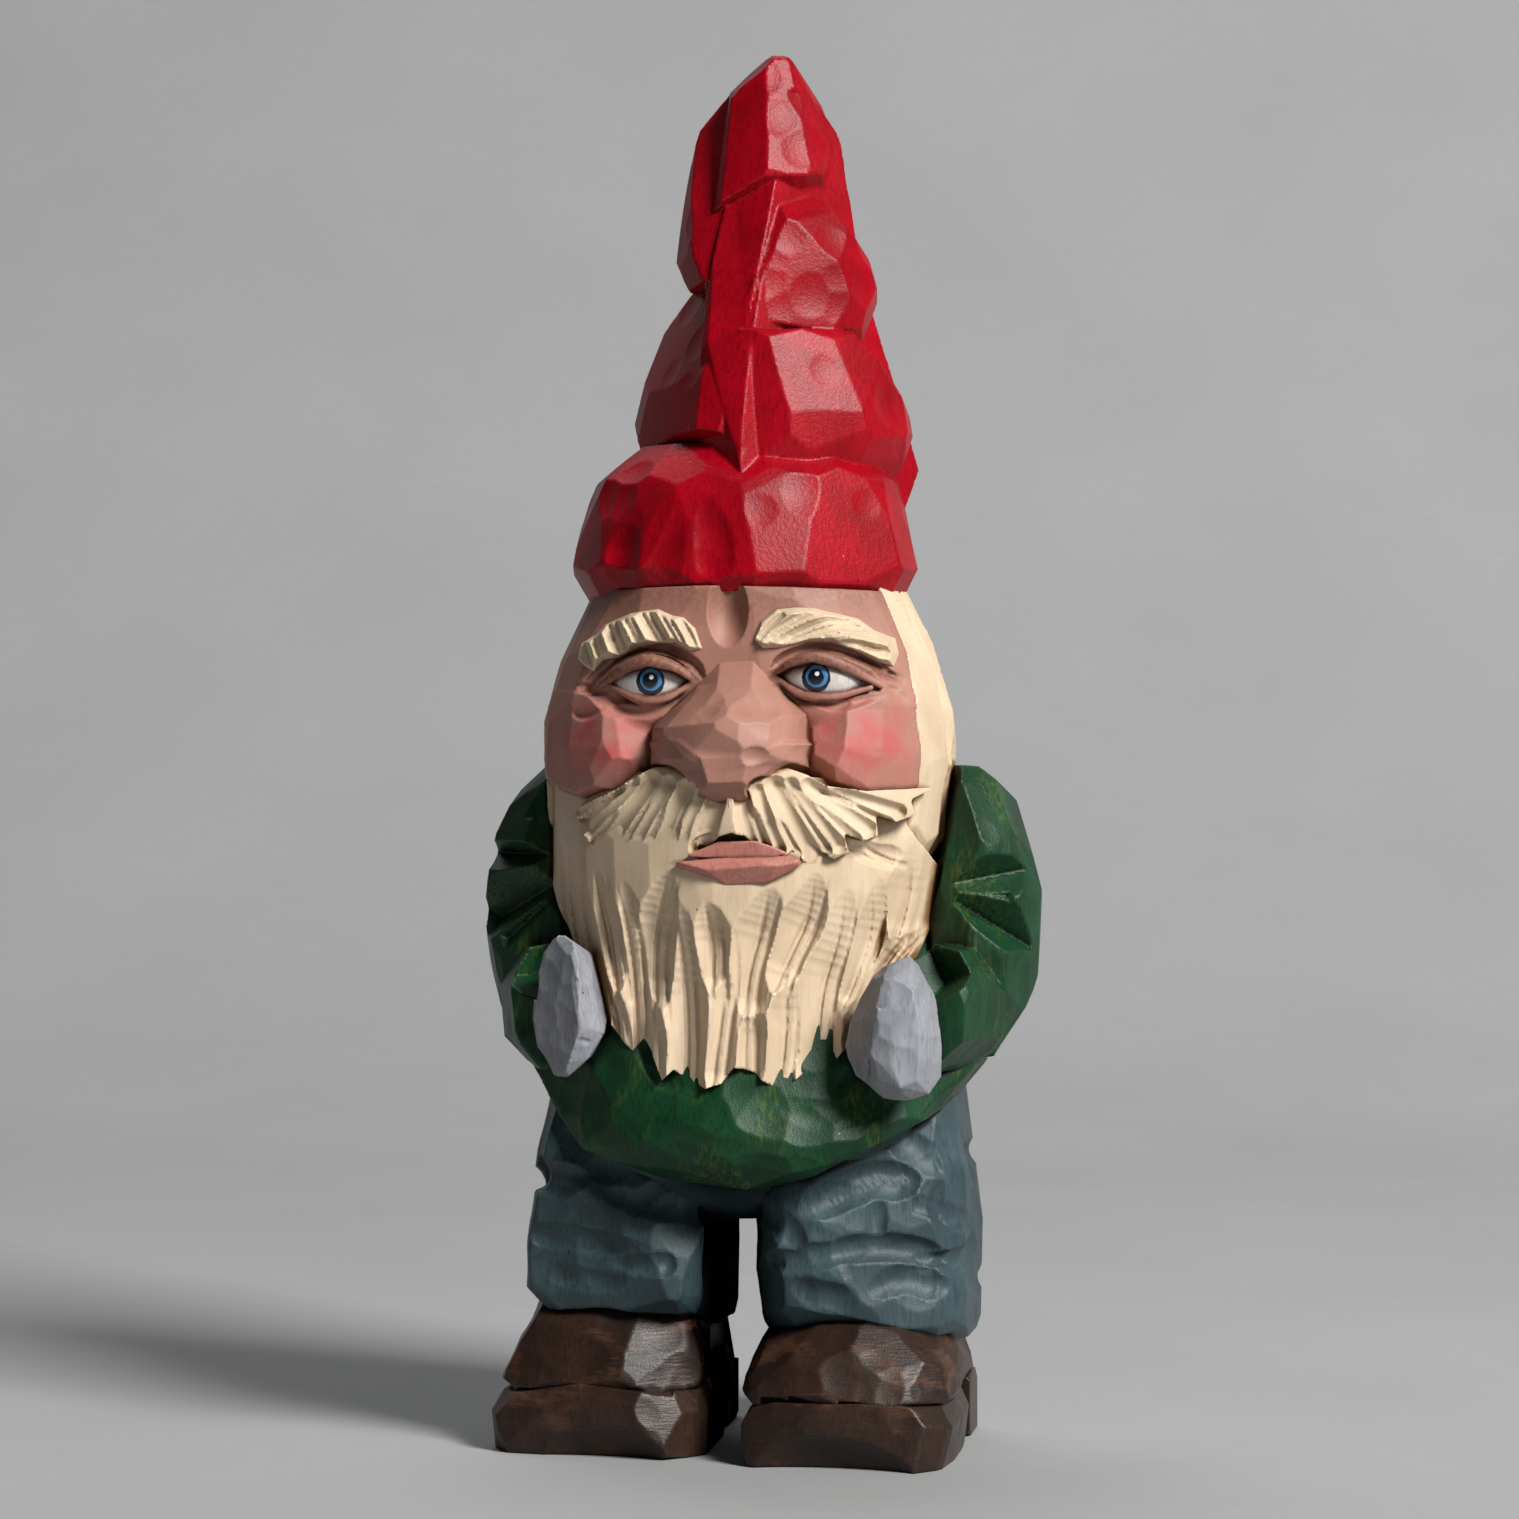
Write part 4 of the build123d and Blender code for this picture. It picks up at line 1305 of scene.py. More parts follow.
def moustache(side):
    body = ball(HEAD + (1.2, -7.3, -2.0), (20.4, 13.2, 10.5))
    table = MOUSTACHE_CUTS[side]
    scoops, lines = fan(table, 0.62, 1.15), split(table, 0.4)
    edge = MOUSTACHE_EDGES[side]

    def field(p):
        q = p - HEAD
        u, v = q[:, 0], q[:, 2]
        front = body(p) + np.where(q[:, 1] < -8, scoops(u, v) + lines(u, v), 0)
        rim = outline(u, v, edge) + 0.1 * (q[:, 1] + 18.0)
        back = q[:, 1] + 10.0 - 0.008 * u * u
        return np.maximum.reduce([front, rim, back])

    carve([f"{side}_moustache"], field, hair_paint(), "hair_cream", FINE)


# The stop cut round the beard as (x, z) from HEAD; its strokes also have depth, radius and two fading shares.
BEARD_EDGE = [
    (-24.0, 3.0), (-23.0, -4.0), (-20.0, -12.0), (-16.4, -17.5), (-14.0, -21.5), (-11.9, -24.6),
    (-9.9, -26.6), (-8.6, -25.2), (-7.6, -26.6), (-6.5, -29.4), (-5.2, -28.2), (-3.6, -29.3), (-1.6, -29.9),
    (0.0, -29.4), (1.3, -27.7), (3.0, -28.2), (5.4, -30.0), (7.6, -29.0), (9.0, -27.8), (11.4, -27.2),
    (12.8, -25.6), (14.6, -24.2), (16.2, -21.6), (18.2, -19.4), (20.4, -14.0), (22.8, -7.0), (24.0, 3.0),
]
BEARD_CUTS = [
    ([(-16.6, -6.0), (-16.0, -12.0), (-14.4, -18.0), (-12.6, -24.0)], 0.9, 3.0, 0.2, 0.1),
    ([(-18.9, -3.0), (-18.6, -8.0), (-17.6, -14.0), (-15.6, -20.0)], 0.8, 3.0, 0.2, 0.2),
    ([(-13.9, -7.5), (-12.6, -12.0), (-11.6, -17.0), (-10.9, -20.0)], 1.0, 1.7, 0.3, 0.5),
    ([(-10.6, -8.6), (-9.5, -13.0), (-9.0, -17.0), (-8.6, -22.0), (-8.8, -27.0)], 1.35, 2.3, 0.3, 0.02),
    ([(-12.6, -19.0), (-11.4, -22.5), (-10.8, -27.0)], 1.0, 1.8, 0.4, 0.02),
    ([(-5.2, -7.6), (-6.4, -11.5), (-7.0, -16.0), (-6.7, -22.5)], 1.6, 2.2, 0.12, 0.5),
    ([(-7.2, -20.5), (-7.0, -25.0), (-7.0, -30.0)], 1.0, 1.6, 0.5, 0.02),
    ([(-4.5, -10.6), (-3.9, -15.0), (-3.5, -20.0), (-3.4, -25.0), (-3.8, -30.0)], 1.6, 2.2, 0.3, 0.02),
    ([(-1.3, -10.8), (-0.8, -14.5), (-0.7, -20.6)], 1.3, 1.8, 0.3, 0.5),
    ([(0.9, -12.5), (1.0, -18.0), (0.4, -23.0), (-0.4, -29.4)], 1.35, 1.9, 0.35, 0.02),
    ([(5.4, -9.4), (4.4, -12.5), (3.0, -17.0), (2.3, -23.0)], 1.5, 2.4, 0.2, 0.4),
    ([(9.8, -7.8), (8.8, -11.6), (6.9, -15.4), (5.0, -19.6)], 1.55, 2.1, 0.15, 0.5),
    ([(3.4, -19.8), (3.1, -24.0), (3.0, -29.0)], 1.2, 1.7, 0.4, 0.02),
    ([(6.8, -15.4), (6.8, -20.0), (6.4, -25.5), (5.6, -30.4)], 1.2, 1.7, 0.4, 0.02),
    ([(12.8, -9.2), (11.8, -13.8), (10.2, -18.4), (9.6, -23.0), (9.2, -28.4)], 1.45, 2.7, 0.25, 0.02),
    ([(15.7, -8.2), (15.3, -12.4), (13.9, -17.2), (11.4, -22.6)], 1.3, 1.4, 0.25, 0.3),
    ([(20.2, -12.6), (17.2, -15.4), (14.6, -18.8), (12.4, -23.4)], 1.1, 1.5, 0.2, 0.3),
    ([(18.8, -5.0), (18.2, -9.6), (16.9, -14.6)], 0.9, 2.4, 0.3, 0.4),
    ([(16.6, -18.0), (14.6, -21.4), (12.9, -26.0)], 0.9, 1.7, 0.3, 0.02),
    ([(21.0, -4.0), (20.4, -9.0), (19.4, -13.6)], 0.7, 1.2, 0.3, 0.3),
    ([(12.4, -4.6), (14.6, -5.8), (17.4, -6.2)], 0.5, 1.4, 0.3, 0.4),
]


def strands_round(seed, count, start, end, top, bottom):
    """Long wavy gouge strokes side by side, from start to end degrees round the head."""
    rng = np.random.default_rng(seed)
    cuts = Gouges()
    for i in range(count):
        u = math.radians(start + (end - start) * (i + 0.5) / count) * 20
        z = top - rng.uniform(0, 2.5)
        while z > bottom:
            run = rng.uniform(9, 16)
            foot_z = max(z - run, bottom - 1)
            sway = rng.uniform(-1.1, 1.1)
            line = [(u, z), (u + sway, (2 * z + foot_z) / 3), (u + sway * 0.4, (z + 2 * foot_z) / 3)]
            line.append((u + rng.uniform(-0.5, 0.5), foot_z))
            cuts.stroke(line, rng.uniform(0.55, 1.0), rng.uniform(1.2, 2.1), 0.3, 0.3)
            z = foot_z + rng.uniform(0.5, 2.5)
            u += rng.uniform(-0.5, 0.5)
    return cuts


def beard():
    body = lobe(
        HEAD,
        [
            (-32.0, 1.4, -12.4, 17.4, 10.8),
            (-26.0, 1.0, -10.4, 18.6, 12.9),
            (-20.5, 0.8, -7.8, 20.0, 15.0),
            (-12.0, 0.4, -3.0, 20.8, 18.4),
            (-4.0, 0.0, -0.6, 21.4, 18.7),
            (1.5, 0.0, -0.5, 21.8, 18.7),
        ],
        3.6, 101, hollow=0.0, tilt=0.015,
    )
    mouth = ball(HEAD + (1.0, -20.4, -5.2), (4.6, 3.4, 1.9))
    cuts, fine = Gouges(), Gouges()
    for line, depth, radius, _, end in BEARD_CUTS:
        cuts.stroke(line, depth * 1.3, radius * 0.8, 0.5, 0.3 * end, pointed=True)
    for i, (line, depth, _, _, end) in enumerate(BEARD_CUTS):
        for shift in ((-0.8, 0.5), (0.9, -0.4), (-0.3, 1.1))[i % 3]:
            aside = [(x + shift, z - 0.6 * j) for j, (x, z) in enumerate(line)]
            fine.stroke(aside, 0.34, 0.26, 0.5, 0.1)

    def field(p):
        q = p - HEAD
        u, v = q[:, 0], q[:, 2]
        sunk = np.where(q[:, 1] < 0, cuts(u, v) + fine(u, v), 0)
        sunk *= np.clip((21.0 - np.abs(u)) / 5.0, 0.15, 1.0)
        value = np.maximum(body(p) + sunk, outline(u, v, BEARD_EDGE) + 0.04 * (q[:, 1] + 19.0))
        value = np.maximum(value, hair_line(p) - 0.1)
        return np.maximum(value, -mouth(p))

    carve(["beard"], field, hair_paint(), "hair_cream", FINE)


def hair():
    mass = head_mass()
    cuts = strands_round(111, 26, 78, 282, 22.0, -9.0)

    def field(p):
        q = p - HEAD
        u = 20 * (np.arctan2(q[:, 0], -q[:, 1]) % (2 * math.pi))
        ends = -8.6 + 1.4 * np.abs(((u / 3.4) % 2) - 1) + 0.5 * np.sin(u * 0.37)
        value = np.maximum(mass(p) + cuts(u, q[:, 2]), ends - q[:, 2])
        return np.maximum(value, -hair_line(p))

    carve(["hair"], field, hair_paint(), "hair_cream", MEDIUM)


# --- Sweater, sleeves and mittens ---

# Corners of the sweater from BODY, and the flats on its front as (x, z, azimuth, elevation).
SWEATER_CORNERS = [
    (-8.0, -15.6, 1.6), (1.0, -17.0, 0.6), (8.0, -15.4, 1.9), (-6.5, -10.0, 0.8), (6.0, -10.0, 0.8),
    (-16.4, -14.6, 4.2), (-9.0, -18.4, 3.6), (-1.0, -19.6, 3.0), (7.0, -19.0, 3.2), (12.4, -17.4, 4.2),
    (-19.4, -12.8, 7.2), (-12.0, -17.8, 7.4), (0.0, -20.2, 7.2), (11.0, -18.4, 7.4), (19.2, -13.4, 7.6),
    (-23.4, -6.4, 12.4), (-19.0, -12.6, 12.6), (-9.0, -16.6, 12.6), (4.0, -17.4, 12.6), (15.0, -14.6, 12.6),
    (21.0, -10.6, 12.8), (24.0, -4.4, 13.0), (-23.9, 3.0, 13.0), (24.2, 4.0, 13.0), (-23.0, 1.0, 20.0),
    (-17.0, -10.0, 20.0), (-6.0, -13.6, 20.0), (8.0, -13.6, 20.0), (18.0, -9.4, 20.0), (23.2, 1.0, 20.0),
    (-20.6, 2.0, 34.0), (-14.0, -7.0, 34.0), (0.0, -9.4, 34.0), (14.0, -7.0, 34.0), (20.6, 2.0, 34.0),
    (-15.0, 2.0, 44.0), (-9.0, -5.0, 44.0), (9.0, -5.0, 44.0), (15.0, 2.0, 44.0), (-8.0, 11.0, 44.0),
    (8.0, 11.0, 44.0), (-16.0, 14.6, 34.0), (0.0, 18.6, 34.0), (16.0, 14.6, 34.0), (-18.0, 16.0, 20.0),
    (-6.0, 21.6, 21.0), (7.0, 21.6, 21.0), (18.0, 16.0, 20.0), (-18.4, 16.4, 12.0), (-7.0, 21.6, 12.0),
    (7.0, 21.6, 12.0), (18.6, 16.2, 12.0), (-16.0, 14.0, 6.6), (0.0, 18.0, 5.6), (16.0, 14.0, 6.6),
    (-20.6, 2.0, 8.0), (20.8, 2.0, 8.0),
]
BELLY_FLATS = [
    (-12.0, 6.0, -30, -6), (-5.5, 4.6, -14, -18), (2.0, 5.6, 6, -8), (8.6, 4.8, 20, -16),
    (-9.0, 9.4, -18, 12), (13.4, 8.0, 32, 4), (-16.6, 9.0, -42, 6), (3.6, 9.4, 14, 16), (17.0, 10.4, 44, 14),
    (-1.6, 2.0, -4, -38),
]


def sweater():
    body = planed(shaved(BODY, SWEATER_CORNERS, 34, 0.55, 201, 0.0015), BODY, BELLY_FLATS, 0.3)
    body = whittled(body, BODY + (0, -6, 10), (16, 12, 6), 120, 202, 0.3, 18.0)
    cuts = strokes(
        [
            ([(-9.5, 15.0), (-7.6, 12.4), (-5.2, 10.6)], 0.6, 2.0, 0.1, 0.6),
            ([(10.5, 10.8), (12.6, 13.0), (13.6, 16.0)], 0.5, 1.6, 0.4, 0.2),
            ([(-12.0, 8.6), (-4.0, 5.2), (4.0, 4.6)], 0.25, 6.0, 0.5, 0.5),
            ([(4.0, 9.8), (10.0, 8.2), (17.0, 10.0)], 0.25, 6.0, 0.5, 0.5),
        ]
    )

    def field(p):
        q = p - BODY
        return body(p) + np.where(q[:, 1] < -8, cuts(q[:, 0], q[:, 2]), 0)

    carve(["sweater"], field, sweater_paint(), "sweater_green", MEDIUM)


# V-cuts at the elbows from BODY: start, end, which way they open, width and depth.
ELBOW_CUTS = {
    "left": [
        ((20.6, -7.8, 31.6), (31.0, -2.0, 33.6), (0.35, -0.9, 0.0), 3.6, 1.7),
        ((21.4, -8.0, 30.8), (27.6, -4.6, 30.6), (0.35, -0.9, 0.0), 1.5, 0.8),
        ((22.0, -7.6, 30.6), (30.6, -2.0, 24.8), (0.5, -0.8, 0.1), 3.6, 2.0),
        ((18.5, -8.4, 26.0), (21.5, -9.6, 21.5), (-0.1, -1.0, 0.0), 2.4, 1.2),
    ],
    "right": [
        ((-20.8, -7.6, 34.6), (-30.0, 0.0, 34.8), (-0.6, -0.8, 0.0), 1.4, 1.2),
        ((-20.4, -7.8, 32.6), (-29.6, -1.0, 27.6), (-0.5, -0.8, 0.1), 3.2, 1.7),
        ((-20.2, -8.0, 31.4), (-27.2, -5.0, 25.4), (-0.4, -0.9, 0.0), 2.2, 1.2),
        ((-19.0, -8.4, 28.0), (-20.8, -9.0, 22.0), (0.1, -1.0, 0.0), 2.2, 1.1),
    ],
}


# The forearm comes forward through these upright rings: y, then x, z and half sizes.
FOREARM_RINGS = ((4.0, 21.2, 18.0, 4.6, 4.8), (-6.0, 21.8, 18.8, 5.4, 7.0), (-14.6, 19.2, 19.0, 4.8, 7.0))


def sleeve(side):
    way = 1 if side == "left" else -1
    upper = [
        (13.0, 20.6, -0.6, 4.2, 6.0),
        (19.5, 22.2, 1.0, 6.4, 8.8),
        (25.5, 23.2, 2.0, 6.8, 9.4),
        (30.0, 23.6, 2.2, 6.6, 9.2),
        (36.0, 23.0, 2.0, 6.0, 8.6),
        (41.5, 21.8, 1.8, 4.4, 6.8),
        (44.2, 20.5, 1.5, 2.6, 4.6),
    ]
    rings = [(z, way * x, y, a, b) for z, x, y, a, b in upper]
    arm = lobe(BODY, rings, 6.4, 211 if way > 0 else 216, hollow=0.003, tilt=0.04)
    arm = whittled(arm, BODY + (way * 22.6, -1.5, 26.0), (5, 5, 9), 50, 213, 0.2)
    corners = []
    for y, x, z, a, b in FOREARM_RINGS:
        for i in range(8):
            angle = (i + 0.35) * math.pi / 4
            corners.append((way * (x + a * math.cos(angle)), y, z + b * math.sin(angle)))
    forearm = shaved(BODY, corners, 16, 0.6, 221 if way > 0 else 227)
    forearm = whittled(forearm, BODY + (way * 21.0, -8.0, 12.0), (4, 5, 4), 36, 223, 0.2)
    cuts = [notch(BODY + start, BODY + end, *opening) for start, end, *opening in ELBOW_CUTS[side]]
    carve([f"{side}_sleeve"], minus(union(arm, forearm), *cuts), sweater_paint(), "sweater_green", MEDIUM)


# Corners of the mittens, from the middle of each.
MITTEN_CORNERS = {
    "left": [
        (1.8, -0.9, 7.5), (-1.3, -0.9, 6.2), (-2.8, -0.4, 4.2), (-4.2, -0.2, 0.9), (-5.0, 0.2, -1.6),
        (-4.0, -0.6, -4.8), (-0.7, -1.2, -7.1), (1.4, -1.3, -7.4), (3.9, -0.9, -6.6), (5.0, 0.0, -4.9),
        (5.1, 0.2, -2.0), (4.5, 0.0, 3.1), (3.2, -0.3, 6.2), (-0.4, -3.0, 5.7), (-1.2, -4.1, 0.6),
        (-2.0, -3.7, -1.8), (0.2, -4.1, -1.1), (1.2, -3.3, -5.8), (2.9, -2.7, -5.2), (2.6, -3.2, 3.8),
        (3.2, -3.1, -0.6), (-2.2, -2.5, -5.0), (2.4, 4.5, 5.0), (-2.0, 4.5, 3.6), (-3.6, 4.8, -1.2),
        (3.8, 4.8, -1.2), (2.0, 4.5, -5.6), (-1.8, 4.5, -4.8),
    ],
    "right": [
        (-0.8, -0.7, 7.5), (1.4, -1.2, 5.9), (2.4, -0.8, 3.9), (3.3, -0.8, -0.3), (3.9, -0.6, -2.8),
        (2.3, -1.4, -5.5), (0.1, -1.6, -7.5), (-1.3, -1.6, -7.3), (-3.3, -1.0, -5.3), (-4.0, 0.0, -1.5),
        (-3.7, -0.2, 3.0), (-3.0, -0.5, 5.7), (-2.4, -0.7, 6.6), (-0.6, -2.9, 5.7), (0.7, -3.9, 3.9),
        (1.5, -4.1, 1.0), (1.9, -3.9, -1.5), (0.1, -3.1, -5.9), (-2.6, -2.8, 3.0), (-2.6, -3.0, -1.6),
        (-1.8, -2.7, -5.0), (2.2, -2.4, 1.8), (1.6, 4.5, 5.0), (-2.4, 4.5, 4.6), (-3.4, 4.8, -1.2),
        (3.2, 4.8, -1.2), (1.6, 4.5, -5.6), (-2.0, 4.5, -5.2),
    ],
}


def mitten(side):
    origin = BODY + ((16.5, -17.6, 17.4) if side == "left" else (-17.2, -17.4, 19.5))
    mass = shaved(origin, MITTEN_CORNERS[side], 12, 0.25, 231, hollow=0.006)
    if side == "right":
        mass.cut(origin + (1.8, -3.5, 0.0), facing(-36, 4), 0.01)
    mass = whittled(mass, origin - (0, 3, 0), (3, 3, 4), 46, 233, 0.15, 9.0)
    crack, scoops = Gouges(), Gouges()
    if side == "left":
        crack.stroke([(-1.9, -2.6), (-2.0, -3.6), (-2.1, -4.9)], 0.35, 0.07, 0.4, 0.4)
        scoops.stroke([(-3.2, -2.2), (-2.6, -3.8), (-1.2, -5.6)], 0.25, 1.6, 0.4, 0.4)
    else:
        scoops.stroke([(1.2, 4.2), (2.0, 0.6), (2.6, -2.6)], 0.25, 1.6, 0.4, 0.4)
        scoops.stroke([(1.6, -3.4), (2.6, -3.8)], 0.2, 0.4, 0.4, 0.4)

    def field(p):
        q = p - origin
        sunk = crack(q[:, 0], q[:, 2]) + scoops(q[:, 0], q[:, 2])
        return mass(p) + np.where(q[:, 1] < 0, sunk, 0)

    carve([f"{side}_mitten"], field, mitten_paint(), "mitten_grey", FINE)


# --- Trousers ---

# Corners of the legs; then strokes on the front as (x, z), on the flanks and the back as (y, z) and (x, z).
LEG_CORNERS = {
    "right": [
        (-21.6, -12.6, 17.3), (-14.0, -13.6, 17.6), (-7.0, -13.4, 17.2), (-4.8, -9.4, 16.6),
        (-24.7, -5.5, 17.2), (-20.6, -10.8, 15.0), (-7.8, -11.8, 15.2), (-5.2, -8.4, 14.6),
        (-22.6, -3.8, 14.4), (-23.0, 13.0, 10.0), (-20.0, 15.4, 9.6), (-7.0, 15.4, 9.6), (-5.2, 13.0, 10.0),
        (-24.2, 13.0, 14.0), (-20.6, 17.2, 13.4), (-7.0, 17.2, 13.4), (-4.4, 13.0, 13.6),
        (-21.9, -13.2, 22.5), (-14.0, -14.3, 22.5), (-7.0, -14.0, 22.5), (-4.5, -10.0, 22.5),
        (-24.2, -6.0, 22.5), (-24.0, 13.0, 24.0), (-20.4, 17.4, 24.0), (-7.0, 17.4, 24.0), (-4.2, 13.0, 24.0),
        (-21.0, -11.6, 31.0), (-14.0, -13.0, 31.0), (-7.0, -12.8, 31.0), (-4.2, -9.0, 31.0),
        (-23.4, -4.0, 31.0), (-18.6, -8.0, 41.0), (-5.2, -8.6, 41.0), (-4.2, -5.0, 41.0), (-21.6, -1.0, 41.0),
        (-22.0, 12.6, 41.0), (-18.6, 16.4, 41.0), (-6.4, 16.4, 41.0), (-4.2, 12.6, 41.0),
    ],
    "left": [
        (4.2, -12.0, 16.0), (9.0, -13.8, 16.8), (16.2, -13.2, 16.4), (20.8, -9.4, 15.2), (1.2, -7.6, 14.6),
        (22.6, -3.8, 13.2), (4.8, -10.4, 13.6), (15.8, -11.2, 13.8), (19.8, -8.0, 12.6), (2.2, -6.6, 12.6),
        (21.4, 11.0, 9.0), (18.2, 13.6, 8.8), (4.8, 13.6, 8.8), (2.0, 11.0, 9.0),
        (22.6, 11.0, 12.6), (18.8, 15.6, 12.2), (4.2, 15.6, 12.2), (0.8, 11.0, 12.6),
        (4.3, -13.4, 22.0), (10.0, -15.1, 22.0), (17.0, -14.4, 22.0), (21.2, -10.2, 22.0), (0.8, -8.6, 22.0),
        (22.9, -4.4, 22.0), (22.8, 11.0, 23.0), (19.0, 15.8, 23.0), (4.2, 15.8, 23.0), (0.5, 11.0, 23.0),
        (5.0, -12.6, 31.0), (10.6, -13.6, 31.0), (16.6, -12.8, 31.0), (20.4, -8.6, 31.0), (0.5, -8.0, 31.0),
        (22.2, -2.4, 31.0), (4.8, -8.4, 41.0), (15.0, -8.6, 41.0), (18.6, -5.4, 41.0), (0.5, -5.0, 41.0),
        (20.4, 0.0, 41.0), (20.6, 10.6, 41.0), (17.0, 15.0, 41.0), (4.8, 15.0, 41.0), (0.5, 10.6, 41.0),
    ],
}
LEG_STROKES = {
    "right": [
        ([(-22.5, 29.2), (-19.5, 28.6), (-16.2, 29.6)], 1.1, 1.6, 0.1, 0.5),
        ([(-19.5, 33.6), (-15.6, 30.6), (-12.4, 29.2)], 0.7, 2.6, 0.3, 0.5),
        ([(-22.5, 22.8), (-18.0, 22.6), (-13.0, 22.0), (-9.0, 21.4)], 0.8, 1.5, 0.1, 0.5),
        ([(-14.4, 20.4), (-10.6, 20.3), (-7.6, 20.1)], 0.75, 1.3, 0.5, 0.08),
        ([(-10.4, 25.6), (-7.0, 25.9), (-3.6, 24.9)], 0.8, 1.5, 0.3, 0.2),
        ([(-14.6, 27.4), (-11.0, 26.2), (-8.2, 28.2)], 0.6, 2.4, 0.4, 0.4),
        ([(-18.4, 25.4), (-14.0, 25.0), (-9.6, 24.2)], 0.45, 3.2, 0.4, 0.4),
        ([(-21.5, 19.0), (-17.0, 18.2), (-12.0, 18.0)], 0.4, 2.4, 0.3, 0.5),
    ],
    "left": [
        ([(6.6, 26.0), (10.0, 27.8), (13.6, 29.0), (17.2, 28.8)], 1.2, 1.9, 0.3, 0.12),
        ([(14.2, 27.2), (13.9, 24.8), (14.3, 22.4)], 0.5, 1.4, 0.4, 0.3),
        ([(2.5, 20.6), (8.0, 21.4), (13.0, 22.2), (16.6, 22.0), (21.0, 20.6)], 1.0, 1.3, 0.15, 0.15),
        ([(19.0, 27.8), (20.6, 26.6), (21.8, 24.4)], 0.7, 2.2, 0.3, 0.3),
        ([(13.6, 17.8), (17.0, 18.9), (20.6, 17.6)], 0.7, 1.9, 0.3, 0.2),
        ([(5.6, 18.4), (8.8, 17.2), (12.0, 17.0)], 0.7, 2.2, 0.4, 0.4),
        ([(8.2, 24.0), (10.2, 21.6), (11.0, 19.2)], 0.4, 2.8, 0.4, 0.4),
        ([(1.5, 26.4), (5.2, 23.6), (6.0, 20.0)], 0.6, 2.4, 0.3, 0.3),
        ([(15.6, 33.4), (18.6, 31.2), (21.4, 31.0)], 0.5, 3.2, 0.3, 0.3),
    ],
}
SIDE_STROKES = {
    "right": [
        ([(-8.0, 28.4), (-4.0, 27.5), (4.0, 26.6), (10.0, 28.0)], 1.2, 1.4, 0.2, 0.4),
        ([(-8.0, 22.6), (-2.0, 22.0), (5.0, 23.0)], 0.6, 1.6, 0.2, 0.4),
        ([(0.0, 33.0), (6.0, 31.0), (13.0, 31.6)], 0.7, 1.8, 0.3, 0.3),
        ([(2.0, 18.6), (8.0, 18.0), (14.0, 19.6)], 0.6, 1.8, 0.3, 0.3),
    ],
    "left": [
        ([(-9.0, 26.8), (-4.0, 24.2), (3.0, 23.6)], 0.6, 1.8, 0.2, 0.4),
        ([(-9.0, 20.2), (-2.0, 20.6), (6.0, 21.8)], 0.7, 1.5, 0.2, 0.4),
        ([(0.0, 31.8), (6.0, 30.0), (13.0, 30.8)], 0.7, 1.8, 0.3, 0.3),
        ([(2.0, 17.2), (8.0, 16.2), (13.0, 17.8)], 0.5, 1.8, 0.3, 0.3),
    ],
}
BACK_STROKES = [
    ([(-8.0, 33.0), (-2.0, 30.8), (6.0, 31.6)], 0.8, 1.9, 0.3, 0.3),
    ([(-9.0, 25.6), (-3.0, 27.2), (4.0, 26.0), (9.0, 26.8)], 0.9, 1.7, 0.2, 0.3),
    ([(-8.0, 21.0), (0.0, 21.6), (8.0, 20.4)], 0.7, 1.6, 0.3, 0.3),
    ([(-6.0, 16.6), (1.0, 16.0), (8.0, 16.8)], 0.5, 2.0, 0.3, 0.3),
]


# The flats on the front of the legs: x, z, azimuth and elevation.
LEG_FLATS = {
    "left": [
        (12.0, 33.4, 27, 22), (16.4, 30.6, 38, 16), (9.2, 28.6, 10, 14), (15.2, 26.2, 28, 10),
        (11.4, 22.8, 20, 18), (16.4, 21.0, 33, 12), (6.6, 24.4, -6, 2), (5.8, 19.8, -10, -8),
        (19.0, 24.6, 52, 6), (9.6, 17.0, 8, -6), (14.6, 16.6, 26, 4), (5.2, 29.6, -14, 10),
    ],
    "right": [
        (-19.8, 30.0, -34, 12), (-14.4, 28.6, -12, 16), (-9.8, 26.4, 10, 10), (-18.4, 22.4, -24, 6),
        (-12.2, 20.4, 4, 12), (-8.2, 22.2, 24, 12), (-15.4, 18.2, -8, -4), (-20.2, 19.6, -38, -2),
        (-8.4, 18.0, 18, -2), (-16.2, 25.4, -16, -8),
    ],
}


def between(p):
    """Painted shade between the legs and under the belly, where the colour goes nearly black."""
    x, y, z = p.T
    gap = np.clip(1 - (np.abs(x + 1.7) - 4.2) / 1.6, 0, 1) * np.clip((y + 11.0) / 3.0, 0, 1)
    return np.clip(np.maximum(gap, 1.3 * np.exp(-(((x + 1.4) / 6.5) ** 2) - ((z - 30.8) / 4.0) ** 2)), 0, 1)


def leg(side):
    mass = shaved(FLOOR, LEG_CORNERS[side], 20, 0.5, 241 if side == "left" else 246, hollow=0.002)
    mass = planed(mass, FLOOR, LEG_FLATS[side], 0.4)
    middle = centre(f"{side}_trouser_leg")
    mass = whittled(mass, middle - (0, 4, 0), (8, 7, 8), 120, 243, 0.34, 13.0)
    front, flank, back = strokes(LEG_STROKES[side]), strokes(SIDE_STROKES[side]), strokes(BACK_STROKES)
    outside = 1 if side == "left" else -1

    def field(p):
        x, y, z = p.T
        sunk = np.where(y < -6, front(x, z), 0)
        sunk += np.where((x - middle[0]) * outside > 6, flank(y, z), 0)
        sunk += np.where(y > 8, back((x - middle[0]) * outside, z), 0)
        return mass(p) + sunk

    carve([f"{side}_trouser_leg"], field, trouser_paint(), "trouser_blue", MEDIUM, shade=between)


